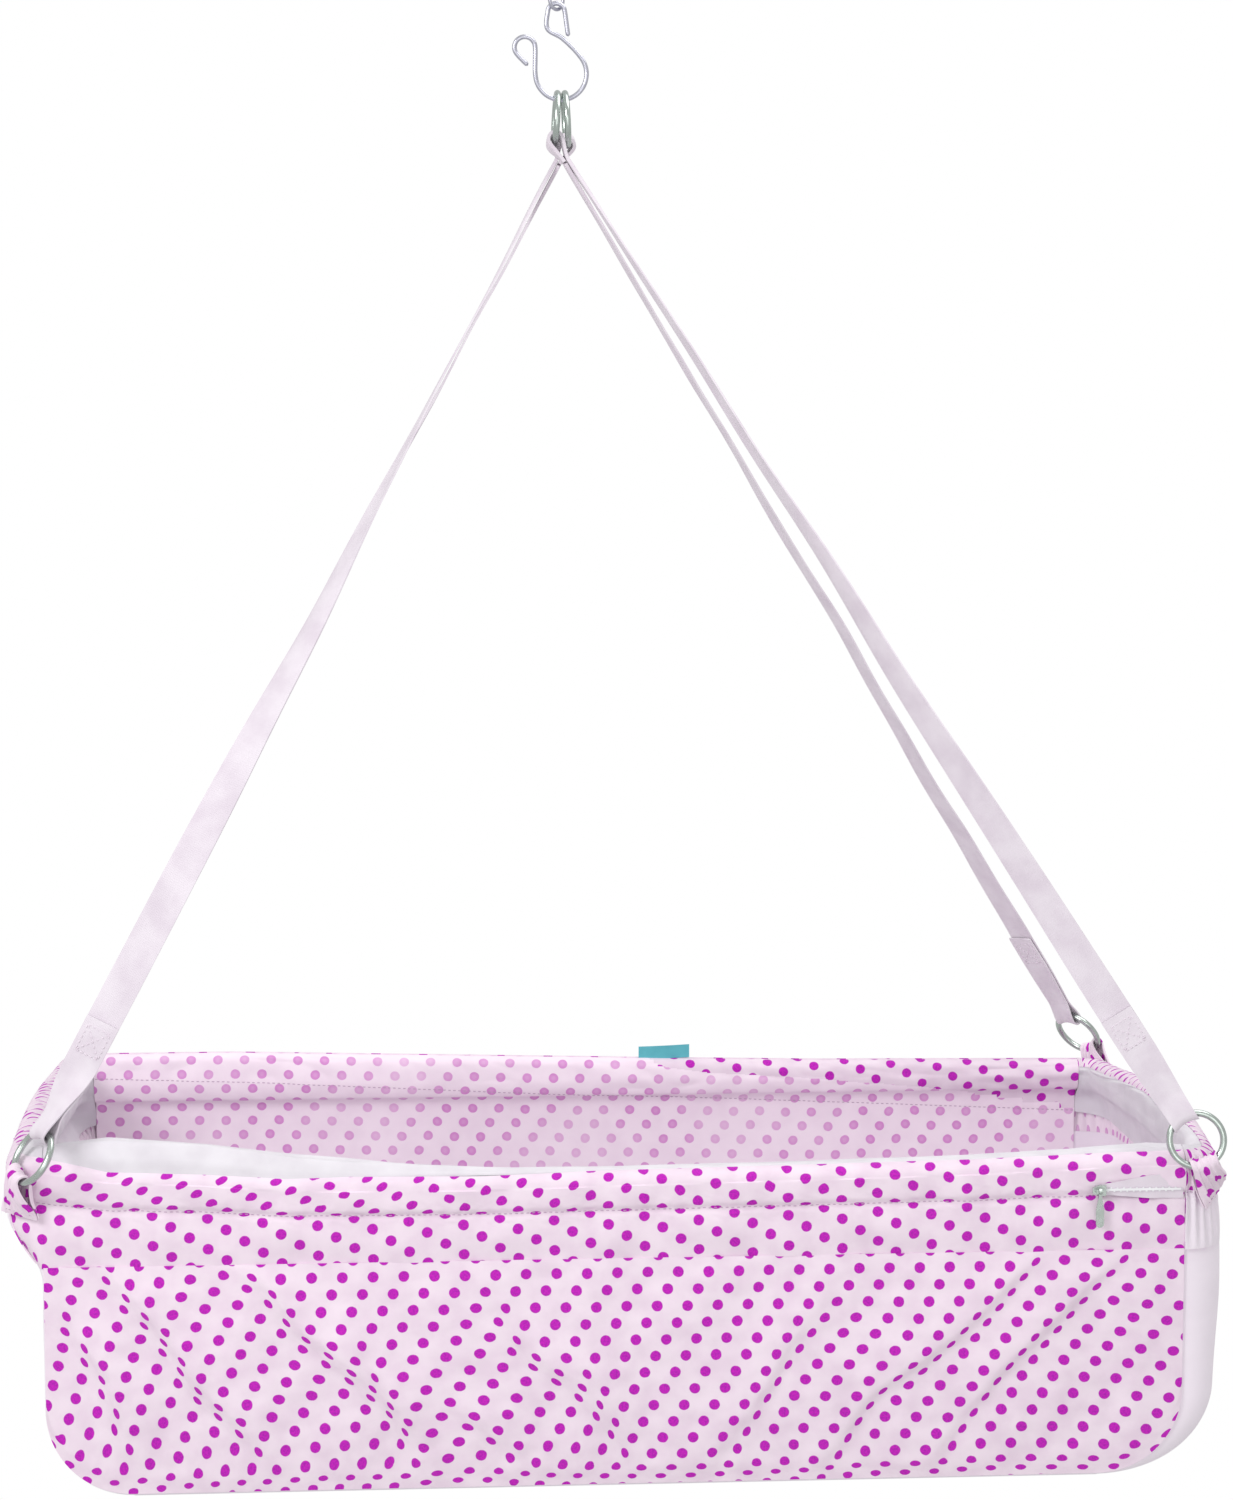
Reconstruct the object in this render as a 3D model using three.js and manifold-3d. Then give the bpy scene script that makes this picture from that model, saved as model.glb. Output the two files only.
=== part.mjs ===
// A fabric baby cradle that hangs on webbing straps from two rings and an S-hook.
// Millimetres. +X runs along the basket, -Y is the front and +Z is up.
// The origin is the hanging point, where the hanger link's window bears on what holds it.

import * as THREE from "three";
import * as BufferGeometryUtils from "three/addons/utils/BufferGeometryUtils.js";
import Module from "manifold-3d";

const wasm = await Module();
wasm.setup();

// Gap kept between pieces that lie on each other
const clearance = 0.3;

// Hanger link
const linkWire = 2.8;
const linkWindowHeight = 25;
const linkWindowWidth = 12;
const linkTurn = THREE.MathUtils.degToRad(45);

// S-hook, radii to the middle of its wire
const hookWire = 3.6;
const hookHeight = 75.6;
const hookEyeRadius = 6.5;
const hookTipLength = 18;
const hookTipSpread = 2.5;
const hookBowlRadius = 19.5;
const hookBowlOffset = 3.4;
const hookCurlRadius = 7.9;
const hookBowlStart = 22.5;
const hookCurlEnd = 225;
const hookSeat = 1.4;

// O-rings, two at the apex and one at each corner
const ringDiameter = 44;
const ringWire = 5;
const ringSeat = 0.5;
const ringWrapGap = 0.8;

// Webbing straps
const strapWidth = 25;
const strapThickness = 1.5;
const strapFoldBack = 88;
const strapEyeLength = 16;
const eyeGaps = 4;
const strapUnfoldLength = 90;
const strapRingWidth = 20;
const strapWrapLength = 20;
const strapRise = 731.5;
const apexOffset = 32.6;
const twistSharpnessShare = 2;
const twistEndShare = 0.93;

// Basket
const basketLength = 832;
const basketWidth = 390;
const basketHeight = 238;
const basketCornerRadius = 28;
const leftEndBow = 3;
const rightEndBow = 10;
const leftEndLean = 34;
const panelCornerRadius = 62;
const baseDrop = 6;
const fabricThickness = 1.6;
const bandHeight = 64;
const creaseHeight = 28;
const creaseDepth = 1.2;
const creaseSpreadShare = 0.35;
const leanFadeHeight = 36;
const leanDrawShare = 0.92;
const panelBelly = 5;
const foldDepth = 3.5;
const foldWidth = 26;

// Rim frame inside the bands
const railDiameter = 16;
const railWall = 1.2;
const casingGap = 0.6;
const spigotLength = 22;
const spigotClearance = 0.3;

// Corner rings and their fabric tabs
const cornerRingRise = 20;
const cornerRingOutset = 5;
const cornerRingFrontage = 9;
const tabWidth = 30;
const tabRingWidth = 20;
const tabDrop = 24;

// Base board and mattress
const boardThickness = 4;
const boardCornerRadius = 20;
const boardMargin = 4;
const mattressEndGap = 36;
const mattressSideGap = 23;
const mattressThickness = 26;
const mattressCrown = 9;
const mattressCornerRadius = 45;
const mattressDrawIn = 7;
const mattressEdge = 10;

// Casing zip at the right end of the front band
const zipLength = 68;
const zipTapeHeight = 14;
const zipTapeThickness = 0.8;
const zipTeethHeight = 3.2;
const zipTeethThickness = 1;
const zipToothPitch = 2.4;
const zipEndMargin = 2;
const zipDrop = 18;
const sliderLength = 10;
const sliderHeight = 8;
const sliderThickness = 1.6;
const lugThickness = 1.4;
const lugHeight = 3.2;
const lugGap = 3;
const pinRadius = 0.8;
const pinStandOff = 2.4;
const pullLength = 27;
const pullWidth = 6;
const pullThickness = 1.2;

// Bare woven label on the rear rim
const labelWidth = 43;
const labelHeight = 11;
const labelThickness = 1.2;
const labelOffset = 62;

// Number of facets
const wireSides = 8;
const railSides = 12;
const ringSteps = 24;
const linkSteps = 28;
const hookSteps = 54;
const strapColumns = 4;
const cornerSteps = 4;
const wrapSteps = 6;
const bowSteps = 6;
const panelColumns = 26;
const panelRows = 6;

// Values worked out from the sizes above
const ringRadius = (ringDiameter - ringWire) / 2;
const foldedWidth = strapWidth / 2;
const foldedThickness = 2 * strapThickness;
const linkBendZ = -linkWindowHeight - linkWire / 2;
const hookEyeZ = linkBendZ + (linkWire + hookWire) / 2 + hookSeat;
const hookBowlZ = hookEyeZ - (hookHeight - hookWire);
const apexRingZ = hookBowlZ + (hookWire + ringWire) / 2 + ringSeat - ringRadius;
const cornerRingZ = apexRingZ - ringRadius - strapRise;
const rimZ = cornerRingZ - cornerRingRise;
const basketX = hookBowlOffset + apexOffset;
const seamX = basketLength / 2;
const frontY = basketWidth / 2;
const cornerY = frontY - basketCornerRadius;
const seamDepth = basketHeight - baseDrop;
const baseHalfLength = seamX - panelCornerRadius;
const railInset = fabricThickness + casingGap + railDiameter / 2;
const mattressLength = basketLength - 2 * mattressEndGap;
const mattressWidth = basketWidth - 2 * mattressSideGap;

// Finishes seen in the photograph
const steel = new THREE.MeshStandardMaterial({ color: 0xb9bdc4, roughness: 0.25, metalness: 1 });
const nickel = new THREE.MeshStandardMaterial({ color: 0xb4beb6, roughness: 0.22, metalness: 1 });
const webbing = new THREE.MeshStandardMaterial({ color: 0xe8dee8, roughness: 0.9, metalness: 0 });
const dotted = new THREE.MeshStandardMaterial({ color: 0xe6a8d8, roughness: 0.92, metalness: 0 });
const lining = new THREE.MeshStandardMaterial({ color: 0xf0eef0, roughness: 0.92, metalness: 0 });
const gussetCloth = new THREE.MeshStandardMaterial({ color: 0xe6dce6, roughness: 0.92, metalness: 0 });
const tubeMetal = new THREE.MeshStandardMaterial({ color: 0x9a9da0, roughness: 0.4, metalness: 1 });
const elbowPlastic = new THREE.MeshStandardMaterial({ color: 0xd8d8d4, roughness: 0.55, metalness: 0 });
const boardMaterial = new THREE.MeshStandardMaterial({ color: 0x8a7a66, roughness: 0.8, metalness: 0 });
const zipPlastic = new THREE.MeshStandardMaterial({ color: 0xf2f2f4, roughness: 0.6, metalness: 0 });
const tealCloth = new THREE.MeshStandardMaterial({ color: 0x3fb8bd, roughness: 0.85, metalness: 0 });

// General shapes

function vector(x, y, z) {
  return new THREE.Vector3(x, y, z);
}

function smooth(share) {
  return THREE.MathUtils.smoothstep(share, 0, 1);
}

function along(origin, ...terms) {
  const point = origin.clone();
  for (const [direction, distance] of terms) {
    point.addScaledVector(direction, distance);
  }
  return point;
}

function sagitta(radius, halfChord) {
  return radius - Math.sqrt(radius ** 2 - halfChord ** 2);
}

// Turns the faces outwards when the body's signed volume is negative.
function facingOut(geometry) {
  const position = geometry.getAttribute("position");
  const index = geometry.getIndex().array;
  const corners = [vector(0, 0, 0), vector(0, 0, 0), vector(0, 0, 0)];
  let volume = 0;
  for (let i = 0; i < index.length; i += 3) {
    corners.forEach((corner, k) => corner.fromBufferAttribute(position, index[i + k]));
    volume += corners[0].dot(corners[1].clone().cross(corners[2]));
  }
  if (volume < 0) {
    for (let i = 0; i < index.length; i += 3) {
      [index[i], index[i + 1]] = [index[i + 1], index[i]];
    }
  }
  geometry.computeVertexNormals();
  return geometry;
}

function indexedGeometry(points, triangles) {
  const geometry = new THREE.BufferGeometry().setFromPoints(points);
  geometry.setIndex(triangles.flat());
  return facingOut(geometry);
}

// A closed sheet of cloth: point(i, j, side) gives both faces, side 0 and side 1.
function sheetGeometry(rows, columns, point) {
  const points = [];
  const triangles = [];
  const at = (i, j, side) => (side * rows + i) * columns + j;
  const quad = (a, b, c, d) => triangles.push([a, b, c], [a, c, d]);
  for (const side of [0, 1]) {
    for (let i = 0; i < rows; i += 1) {
      for (let j = 0; j < columns; j += 1) {
        points.push(point(i, j, side));
      }
    }
  }
  for (let i = 0; i + 1 < rows; i += 1) {
    for (let j = 0; j + 1 < columns; j += 1) {
      quad(at(i, j, 0), at(i, j + 1, 0), at(i + 1, j + 1, 0), at(i + 1, j, 0));
      quad(at(i, j, 1), at(i + 1, j, 1), at(i + 1, j + 1, 1), at(i, j + 1, 1));
    }
    const last = columns - 1;
    quad(at(i, 0, 0), at(i + 1, 0, 0), at(i + 1, 0, 1), at(i, 0, 1));
    quad(at(i, last, 0), at(i, last, 1), at(i + 1, last, 1), at(i + 1, last, 0));
  }
  for (let j = 0; j + 1 < columns; j += 1) {
    const last = rows - 1;
    quad(at(0, j, 0), at(0, j, 1), at(0, j + 1, 1), at(0, j + 1, 0));
    quad(at(last, j, 0), at(last, j + 1, 0), at(last, j + 1, 1), at(last, j, 1));
  }
  return indexedGeometry(points, triangles);
}

// A stack of closed loops of points, joined ring to ring; an open stack is closed by fans.
function loopStackGeometry(loops, closed) {
  const sides = loops[0].length;
  const points = loops.flat();
  const triangles = [];
  const spans = closed ? loops.length : loops.length - 1;
  for (let i = 0; i < spans; i += 1) {
    for (let j = 0; j < sides; j += 1) {
      const a = i * sides + j;
      const b = i * sides + ((j + 1) % sides);
      const c = ((i + 1) % loops.length) * sides + ((j + 1) % sides);
      const d = ((i + 1) % loops.length) * sides + j;
      triangles.push([a, b, c], [a, c, d]);
    }
  }
  if (!closed) {
    for (const [loop, start] of [[loops[0], 0], [loops.at(-1), (loops.length - 1) * sides]]) {
      const middle = points.length;
      points.push(loop.reduce((sum, p) => sum.add(p), vector(0, 0, 0)).divideScalar(sides));
      for (let j = 0; j < sides; j += 1) {
        const next = start + ((j + 1) % sides);
        triangles.push(start === 0 ? [middle, next, start + j] : [middle, start + j, next]);
      }
    }
  }
  return indexedGeometry(points, triangles);
}

// A round bar along points of a flat path whose plane has the normal given.
function roundBarGeometry(path, planeNormal, radiusAt, sides, closed = false, tangents = []) {
  const count = path.length;
  const loops = path.map((point, i) => {
    const before = path[closed ? (i - 1 + count) % count : Math.max(i - 1, 0)];
    const after = path[closed ? (i + 1) % count : Math.min(i + 1, count - 1)];
    const tangent = tangents[i] ?? after.clone().sub(before).normalize();
    const across = planeNormal.clone().cross(tangent);
    return Array.from({ length: sides }, (_, k) => {
      const angle = (2 * Math.PI * k) / sides;
      const radius = radiusAt(i);
      return along(point, [planeNormal, radius * Math.cos(angle)], [across, radius * Math.sin(angle)]);
    });
  });
  return loopStackGeometry(loops, closed);
}

function arcPoints(x, z, radius, startDegrees, endDegrees, steps) {
  return Array.from({ length: steps + 1 }, (_, i) => {
    const angle = THREE.MathUtils.degToRad(startDegrees + ((endDegrees - startDegrees) * i) / steps);
    return new THREE.Vector2(x + radius * Math.cos(angle), z + radius * Math.sin(angle));
  });
}

function solidFrom(geometry) {
  const bare = geometry.clone();
  bare.deleteAttribute("normal");
  bare.deleteAttribute("uv");
  const merged = BufferGeometryUtils.mergeVertices(bare);
  const mesh = new wasm.Mesh({
    numProp: 3,
    vertProperties: Float32Array.from(merged.getAttribute("position").array),
    triVerts: Uint32Array.from(merged.getIndex().array),
  });
  return new wasm.Manifold(mesh);
}

function geometryFrom(solid) {
  const { vertProperties, triVerts } = solid.getMesh();
  const geometry = new THREE.BufferGeometry();
  geometry.setAttribute("position", new THREE.BufferAttribute(vertProperties, 3));
  geometry.setIndex(new THREE.BufferAttribute(triVerts, 1));
  geometry.computeVertexNormals();
  return geometry;
}

function box(width, depth, height, x, y, z) {
  return new THREE.BoxGeometry(width, depth, height).translate(x, y, z);
}

function cylinderAlongX(radius, length, sides, x, y, z) {
  return new THREE.CylinderGeometry(radius, radius, length, sides)
    .rotateZ(Math.PI / 2)
    .translate(x, y, z);
}

// Hanger link and S-hook

function hangerLinkGeometry() {
  const halfWidth = (linkWindowWidth + linkWire) / 2;
  const halfStraight = (linkWindowHeight - linkWindowWidth) / 2;
  const outline = new THREE.Path();
  outline.absarc(0, halfStraight, halfWidth, 0, Math.PI, false);
  outline.absarc(0, -halfStraight, halfWidth, Math.PI, 2 * Math.PI, false);
  outline.closePath();
  const path = outline.getSpacedPoints(linkSteps).slice(0, -1);
  const points = path.map((p) => vector(p.x, 0, p.y - linkWindowHeight / 2));
  return roundBarGeometry(points, vector(0, 1, 0), () => linkWire / 2, wireSides, true);
}

// The hook's wire: tip, eye over the link, neck, bowl under the rings, leg and curl.
function hookPath() {
  const eyeZ = hookEyeZ - hookEyeRadius;
  const bowlZ = hookBowlZ + hookBowlRadius;
  const curlX = hookBowlOffset - hookBowlRadius - hookCurlRadius;
  const curlZ = bowlZ + hookBowlRadius;
  const neckShares = [[-0.01, 0.27], [0.38, 0.42], [0.8, 0.66]];
  const neckRight = hookBowlOffset + hookBowlRadius * Math.cos(THREE.MathUtils.degToRad(hookBowlStart));
  const neck = neckShares.map(([across, down]) => new THREE.Vector2(
    THREE.MathUtils.lerp(-hookEyeRadius, neckRight, across),
    THREE.MathUtils.lerp(eyeZ, bowlZ, down),
  ));
  const tipX = hookEyeRadius + hookTipSpread;
  const curl = arcPoints(curlX, curlZ, hookCurlRadius, 0, hookCurlEnd, 9);
  const curlEnd = curl.at(-1);
  const points = [
    new THREE.Vector2(tipX, eyeZ - hookTipLength),
    new THREE.Vector2((tipX + hookEyeRadius) / 2, eyeZ - hookTipLength / 2),
    ...arcPoints(0, eyeZ, hookEyeRadius, 0, 180, 6),
    ...neck,
    ...arcPoints(hookBowlOffset, bowlZ, hookBowlRadius, hookBowlStart, -180, 9),
    new THREE.Vector2(hookBowlOffset - hookBowlRadius, bowlZ + hookBowlRadius / 2),
    ...curl,
    curlEnd.clone().add(new THREE.Vector2(hookCurlRadius, -hookCurlRadius)),
  ];
  const spatial = points.map((p) => vector(p.x, 0, p.y));
  return new THREE.CatmullRomCurve3(spatial, false, "centripetal").getSpacedPoints(hookSteps);
}

function hookGeometry() {
  const path = hookPath();
  const tipShares = [0.55, 0.9];
  const radiusAt = (i) => {
    const fromEnd = Math.min(i, path.length - 1 - i);
    return (hookWire / 2) * (tipShares[fromEnd] ?? 1);
  };
  return roundBarGeometry(path, vector(0, 1, 0), radiusAt, wireSides);
}

// Rings

function ringGeometry() {
  const torus = new THREE.TorusGeometry(ringRadius, ringWire / 2, wireSides, ringSteps);
  torus.deleteAttribute("normal");
  torus.deleteAttribute("uv");
  return BufferGeometryUtils.mergeVertices(torus);
}

// The two apex rings hang edge on to the front, touching at the top and spread below,
// where one layer of each strap eye passes between them.
const apexTopSpread = ringWire + 2 * clearance;
const apexBottomSpread = ringWire + foldedThickness + ringWrapGap + eyeGaps * clearance;
const apexTilt = Math.asin((apexBottomSpread - apexTopSpread) / (4 * ringRadius));

function apexRing(sideSign) {
  const down = vector(sideSign * Math.sin(apexTilt), 0, -Math.cos(apexTilt));
  const halfSpread = (apexTopSpread + apexBottomSpread) / 4;
  const centre = vector(hookBowlOffset + sideSign * halfSpread, 0, apexRingZ);
  return { down, centre };
}

// Straps
// Each strap is one length of webbing over an apex ring: an eye folded lengthwise, and two
// legs that twist from edge on at the top and turn back on themselves through a corner ring.
// The right strap hangs on the left ring and passes in front of the left strap.

function cornerRingCentre(xSign, ySign) {
  return vector(
    basketX + xSign * (seamX + cornerRingOutset),
    ySign * (frontY + cornerRingFrontage),
    cornerRingZ,
  );
}

function strapEye(xSign) {
  const ring = apexRing(-xSign);
  const seatAngle = Math.asin((foldedWidth / 2 + clearance) / ringRadius);
  const ahead = vector(0, -xSign, 0);
  const seat = along(
    ring.centre,
    [ring.down, ringRadius * Math.cos(seatAngle)],
    [ahead, ringRadius * Math.sin(seatAngle)],
  );
  const far = cornerRingCentre(xSign, 0);
  const axis = vector(far.x - seat.x, 0, far.z - seat.z).normalize();
  const stack = vector(-axis.z * xSign, 0, axis.x * xSign);
  const wireAlong = along(ahead.clone().multiplyScalar(Math.cos(seatAngle)),
    [ring.down, -Math.sin(seatAngle)]);
  const throat = along(seat, [axis, strapEyeLength]);
  throat.y = -xSign * (foldedWidth / 2 + clearance);
  return { ring, seat, axis, stack, wireAlong, throat };
}

function strapEyeGeometry(xSign) {
  const { ring, seat, axis, stack, wireAlong, throat } = strapEye(xSign);
  const inward = ring.centre.clone().sub(seat).normalize();
  const wrap = wrapRadius(foldedWidth, foldedThickness) + clearance;
  const layer = (foldedThickness + clearance) / 2;
  const taperSteps = 3;
  const stations = [];
  for (let i = 0; i <= taperSteps; i += 1) {
    const share = i / taperSteps;
    stations.push({
      reach: strapEyeLength * (1 - share),
      out: THREE.MathUtils.lerp(layer, wrap, smooth(share)),
      turn: 0,
    });
  }
  for (let i = 0; i <= wrapSteps; i += 1) {
    const turn = (Math.PI * i) / wrapSteps;
    stations.push({ reach: -wrap * Math.sin(turn), out: wrap * Math.cos(turn), turn });
  }
  for (let i = taperSteps; i >= 0; i -= 1) {
    stations.push({ ...stations[i], out: -stations[i].out, turn: Math.PI });
  }
  const level = vector(0, Math.sign(wireAlong.y), 0);
  return sheetGeometry(stations.length, strapColumns + 1, (i, j, side) => {
    const { reach, out, turn } = stations[i];
    const share = THREE.MathUtils.clamp(reach / strapEyeLength, 0, 1);
    const across = foldedWidth * (j / strapColumns - 1 / 2);
    const bow = sagitta(ringRadius, Math.abs(across)) * (1 - smooth(share));
    const centre = along(seat, [axis, reach], [stack, out], [inward, bow]);
    centre.y = THREE.MathUtils.lerp(seat.y, throat.y, share);
    const width = wireAlong.clone().lerp(level, smooth(share)).normalize();
    const normal = along(vector(0, 0, 0), [stack, Math.cos(turn)], [axis, -Math.sin(turn)]);
    const thick = foldedThickness * (side - 1 / 2);
    return along(centre, [width, across], [normal, thick]);
  });
}

// The direction of a leg, and the ring that it turns through, which lies in the strap's plane.
function strapLeg(xSign, ySign, faceTurnDegrees) {
  const eye = strapEye(xSign);
  const layer = (foldedThickness + clearance) / 2;
  const top = along(eye.throat, [eye.stack, -ySign * layer], [eye.axis, clearance]);
  const ringCentre = cornerRingCentre(xSign, ySign);
  const up = top.clone().sub(ringCentre).normalize();
  const edgeWidth = along(vector(0, 1, 0), [up, -up.y]).normalize();
  const faceWidth = up.clone().cross(edgeWidth);
  const faceTurn = THREE.MathUtils.degToRad(faceTurnDegrees);
  const widthAt = (turn) => along(
    vector(0, 0, 0),
    [edgeWidth, Math.cos(turn)],
    [faceWidth, Math.sin(turn)],
  );
  const wire = along(ringCentre, [up, ringRadius]);
  const length = top.distanceTo(wire);
  return { eye, top, up, ringCentre, wire, length, faceTurn, widthAt };
}

// The middle of a strip that turns round a ring's wire and is bunched to the width given.
function wrapRadius(width, thickness) {
  const edgeSlope = Math.asin(width / 2 / ringRadius);
  return (ringWire / 2 + ringWrapGap) / Math.cos(edgeSlope) + thickness / 2;
}

function strapLegGeometry(leg) {
  const wrap = wrapRadius(strapRingWidth, strapThickness);
  const layer = strapThickness / 2 + clearance;
  const legShares = [0, 0.015, 0.06, 0.12, 0.3, 0.48, 0.62, 0.72, 0.8, 0.87, 0.93];
  const wrapShares = [1.6, 1, 0.7, 0.35, 0];
  const backSteps = 5;
  const stations = legShares.map((share) => ({ height: leg.length * (1 - share), out: 0, turn: 0 }));
  const outAt = (height) => {
    const share = THREE.MathUtils.clamp(1 - height / strapWrapLength, 0, 1);
    return THREE.MathUtils.lerp(layer, wrap, smooth(share));
  };
  for (const share of wrapShares) {
    const height = share * strapWrapLength;
    stations.push({ height, out: outAt(height) - layer, turn: 0 });
  }
  for (let i = 1; i < wrapSteps; i += 1) {
    const turn = (Math.PI * i) / wrapSteps;
    stations.push({ height: -wrap * Math.sin(turn), out: wrap * Math.cos(turn) - layer, turn });
  }
  for (const share of [...wrapShares].reverse()) {
    const height = share * strapWrapLength;
    stations.push({ height, out: -outAt(height) - layer, turn: Math.PI });
  }
  for (let i = 1; i <= backSteps; i += 1) {
    const start = wrapShares[0] * strapWrapLength;
    const height = THREE.MathUtils.lerp(start, strapFoldBack, i / backSteps);
    stations.push({ height, out: -2 * layer, turn: Math.PI });
  }
  return sheetGeometry(stations.length, strapColumns + 1, (i, j, side) => {
    const { height, out, turn } = stations[i];
    const fromTop = leg.length - height;
    const twistShare = THREE.MathUtils.clamp(fromTop / leg.length / twistEndShare, 0, 1);
    const width = leg.widthAt(leg.faceTurn * twistShare ** twistSharpnessShare);
    const normal = width.clone().cross(leg.up);
    if (i === 0) {
      width.set(0, 1, 0);
      normal.copy(width).cross(leg.eye.axis).multiplyScalar(-1);
    }
    const open = smooth(fromTop / strapUnfoldLength);
    const bunch = smooth(1 - height / (3 * strapWrapLength));
    const full = THREE.MathUtils.lerp(foldedWidth, strapWidth, open);
    const spread = THREE.MathUtils.lerp(full, strapRingWidth, bunch);
    const deep = THREE.MathUtils.lerp(foldedThickness, strapThickness, open);
    const across = spread * (j / strapColumns - 1 / 2);
    const bow = -sagitta(ringRadius, Math.abs(across)) * bunch;
    const centre = along(leg.wire, [leg.up, height + (i === 0 ? 0 : bow)], [normal, out]);
    const thick = deep * (side - 1 / 2);
    const faceNormal = along(
      vector(0, 0, 0),
      [normal, Math.cos(turn)],
      [leg.up, -Math.sin(turn)],
    );
    return along(centre, [width, across], [faceNormal, thick]);
  });
}

// The rim in plan: front and rear straights, corner arcs and gently bowed ends

// The arc of one end's bow: how far its middle lies behind the seam, its radius and half angle.
function bowOf(xSign) {
  const bow = xSign < 0 ? leftEndBow : rightEndBow;
  const reach = (cornerY ** 2 - bow ** 2) / (2 * bow);
  return { reach, radius: basketCornerRadius + bow + reach, halfAngle: Math.atan2(cornerY, reach) };
}

// The left end's slack cloth is drawn in below its tabs, down to near the seam's own line.
function drawnIn(xSign, x, depth) {
  const past = Math.abs(x) - seamX;
  if (xSign > 0 || past <= 0) {
    return x;
  }
  const share = smooth((depth - tabDrop) / (bandHeight + leanFadeHeight - tabDrop));
  return xSign * (seamX + past - Math.min(past * leanDrawShare, leftEndLean) * share);
}

function planStation(x, y, angle) {
  return { point: new THREE.Vector2(x, y), inward: new THREE.Vector2(-Math.cos(angle), -Math.sin(angle)) };
}

// Stations round one end, from the front corner to the rear corner.
function endStations(xSign) {
  const bow = bowOf(xSign);
  const stations = [];
  const add = (centreX, centreY, radius, angle) => {
    const x = xSign * (centreX + radius * Math.cos(angle));
    const y = centreY + radius * Math.sin(angle);
    const mirrored = xSign > 0 ? angle : Math.PI - angle;
    stations.push(planStation(x, y, mirrored));
  };
  for (let i = 0; i < cornerSteps; i += 1) {
    const angle = THREE.MathUtils.lerp(-Math.PI / 2, -bow.halfAngle, i / cornerSteps);
    add(seamX, -cornerY, basketCornerRadius, angle);
  }
  for (let i = 0; i <= bowSteps; i += 1) {
    const angle = THREE.MathUtils.lerp(-bow.halfAngle, bow.halfAngle, i / bowSteps);
    add(seamX - bow.reach, 0, bow.radius, angle);
  }
  for (let i = cornerSteps - 1; i >= 0; i -= 1) {
    const angle = THREE.MathUtils.lerp(Math.PI / 2, bow.halfAngle, i / cornerSteps);
    add(seamX, cornerY, basketCornerRadius, angle);
  }
  return stations;
}

// Stations along the front or the rear, which stop short of the end pieces.
function straightStations(ySign) {
  const reach = seamX - clearance;
  const inward = ySign > 0 ? Math.PI / 2 : -Math.PI / 2;
  return [-reach, reach].map((x) => planStation(x, ySign * frontY, inward));
}

// A cloth strip of even thickness about a middle line given by inset and height.
function stripGeometry(stations, middleLine) {
  const normals = middleLine.map((_, k) => {
    const before = middleLine[Math.max(k - 1, 0)];
    const after = middleLine[Math.min(k + 1, middleLine.length - 1)];
    const tangent = after.clone().sub(before).normalize();
    return new THREE.Vector2(-tangent.y, tangent.x);
  });
  return sheetGeometry(stations.length, middleLine.length, (i, k, side) => {
    const { point, inward } = stations[i];
    const place = middleLine[k].clone().addScaledVector(normals[k], fabricThickness * (side - 1 / 2));
    const x = drawnIn(Math.sign(point.x), point.x + inward.x * place.x, -place.y);
    return vector(x, point.y + inward.y * place.x, place.y);
  });
}

const casingRadius = railDiameter / 2 + casingGap + fabricThickness / 2;

// Outer band: up from the panel seam, past the casing stitch and over the rail to its crown.
function bandLine() {
  const flat = fabricThickness / 2;
  const gap = THREE.MathUtils.radToDeg(clearance / casingRadius);
  return [
    new THREE.Vector2(flat, -bandHeight),
    new THREE.Vector2(flat, -creaseHeight * (1 + creaseSpreadShare)),
    new THREE.Vector2(flat + creaseDepth, -creaseHeight),
    new THREE.Vector2(flat, -creaseHeight * (1 - creaseSpreadShare)),
    ...arcPoints(railInset, -railInset, casingRadius, 180, 90 + gap, 4),
  ];
}

// White facing: from the crown down the inside, under the rail and down to the seam.
function facingLine() {
  const flat = 1.5 * fabricThickness + clearance + creaseDepth;
  const gap = THREE.MathUtils.radToDeg(clearance / casingRadius);
  return [
    ...arcPoints(railInset, -railInset, casingRadius, 90 - gap, -30, 5),
    new THREE.Vector2(flat, -railInset - railDiameter - casingRadius),
    new THREE.Vector2(flat, -bandHeight),
  ];
}

// Rim rails, bows and elbows

function tubeShape() {
  const shape = new THREE.Shape().absarc(0, 0, railDiameter / 2, 0, 2 * Math.PI, false);
  shape.holes.push(new THREE.Path().absarc(0, 0, railDiameter / 2 - railWall, 0, 2 * Math.PI, true));
  return shape;
}

function tubeGeometry(points, steps) {
  const path = points.length > 2 ? new THREE.CatmullRomCurve3(points) : new THREE.LineCurve3(...points);
  const settings = { steps, extrudePath: path, curveSegments: railSides };
  return new THREE.ExtrudeGeometry(tubeShape(), settings);
}

function railGeometry(ySign) {
  const y = ySign * (frontY - railInset);
  const reach = seamX - clearance;
  return tubeGeometry([vector(-reach, y, -railInset), vector(reach, y, -railInset)], 1);
}

function bowPoint(xSign, angle) {
  const bow = bowOf(xSign);
  const radius = bow.radius - railInset;
  return vector(
    xSign * (seamX - bow.reach + radius * Math.cos(angle)),
    radius * Math.sin(angle),
    -railInset,
  );
}

function bowGeometry(xSign) {
  const bow = bowOf(xSign);
  const reach = bow.halfAngle - clearance / bow.radius;
  const points = Array.from({ length: 2 * bowSteps + 1 }, (_, i) => (
    bowPoint(xSign, THREE.MathUtils.lerp(-reach, reach, i / (2 * bowSteps)))
  ));
  return tubeGeometry(points, bowSteps);
}

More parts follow.
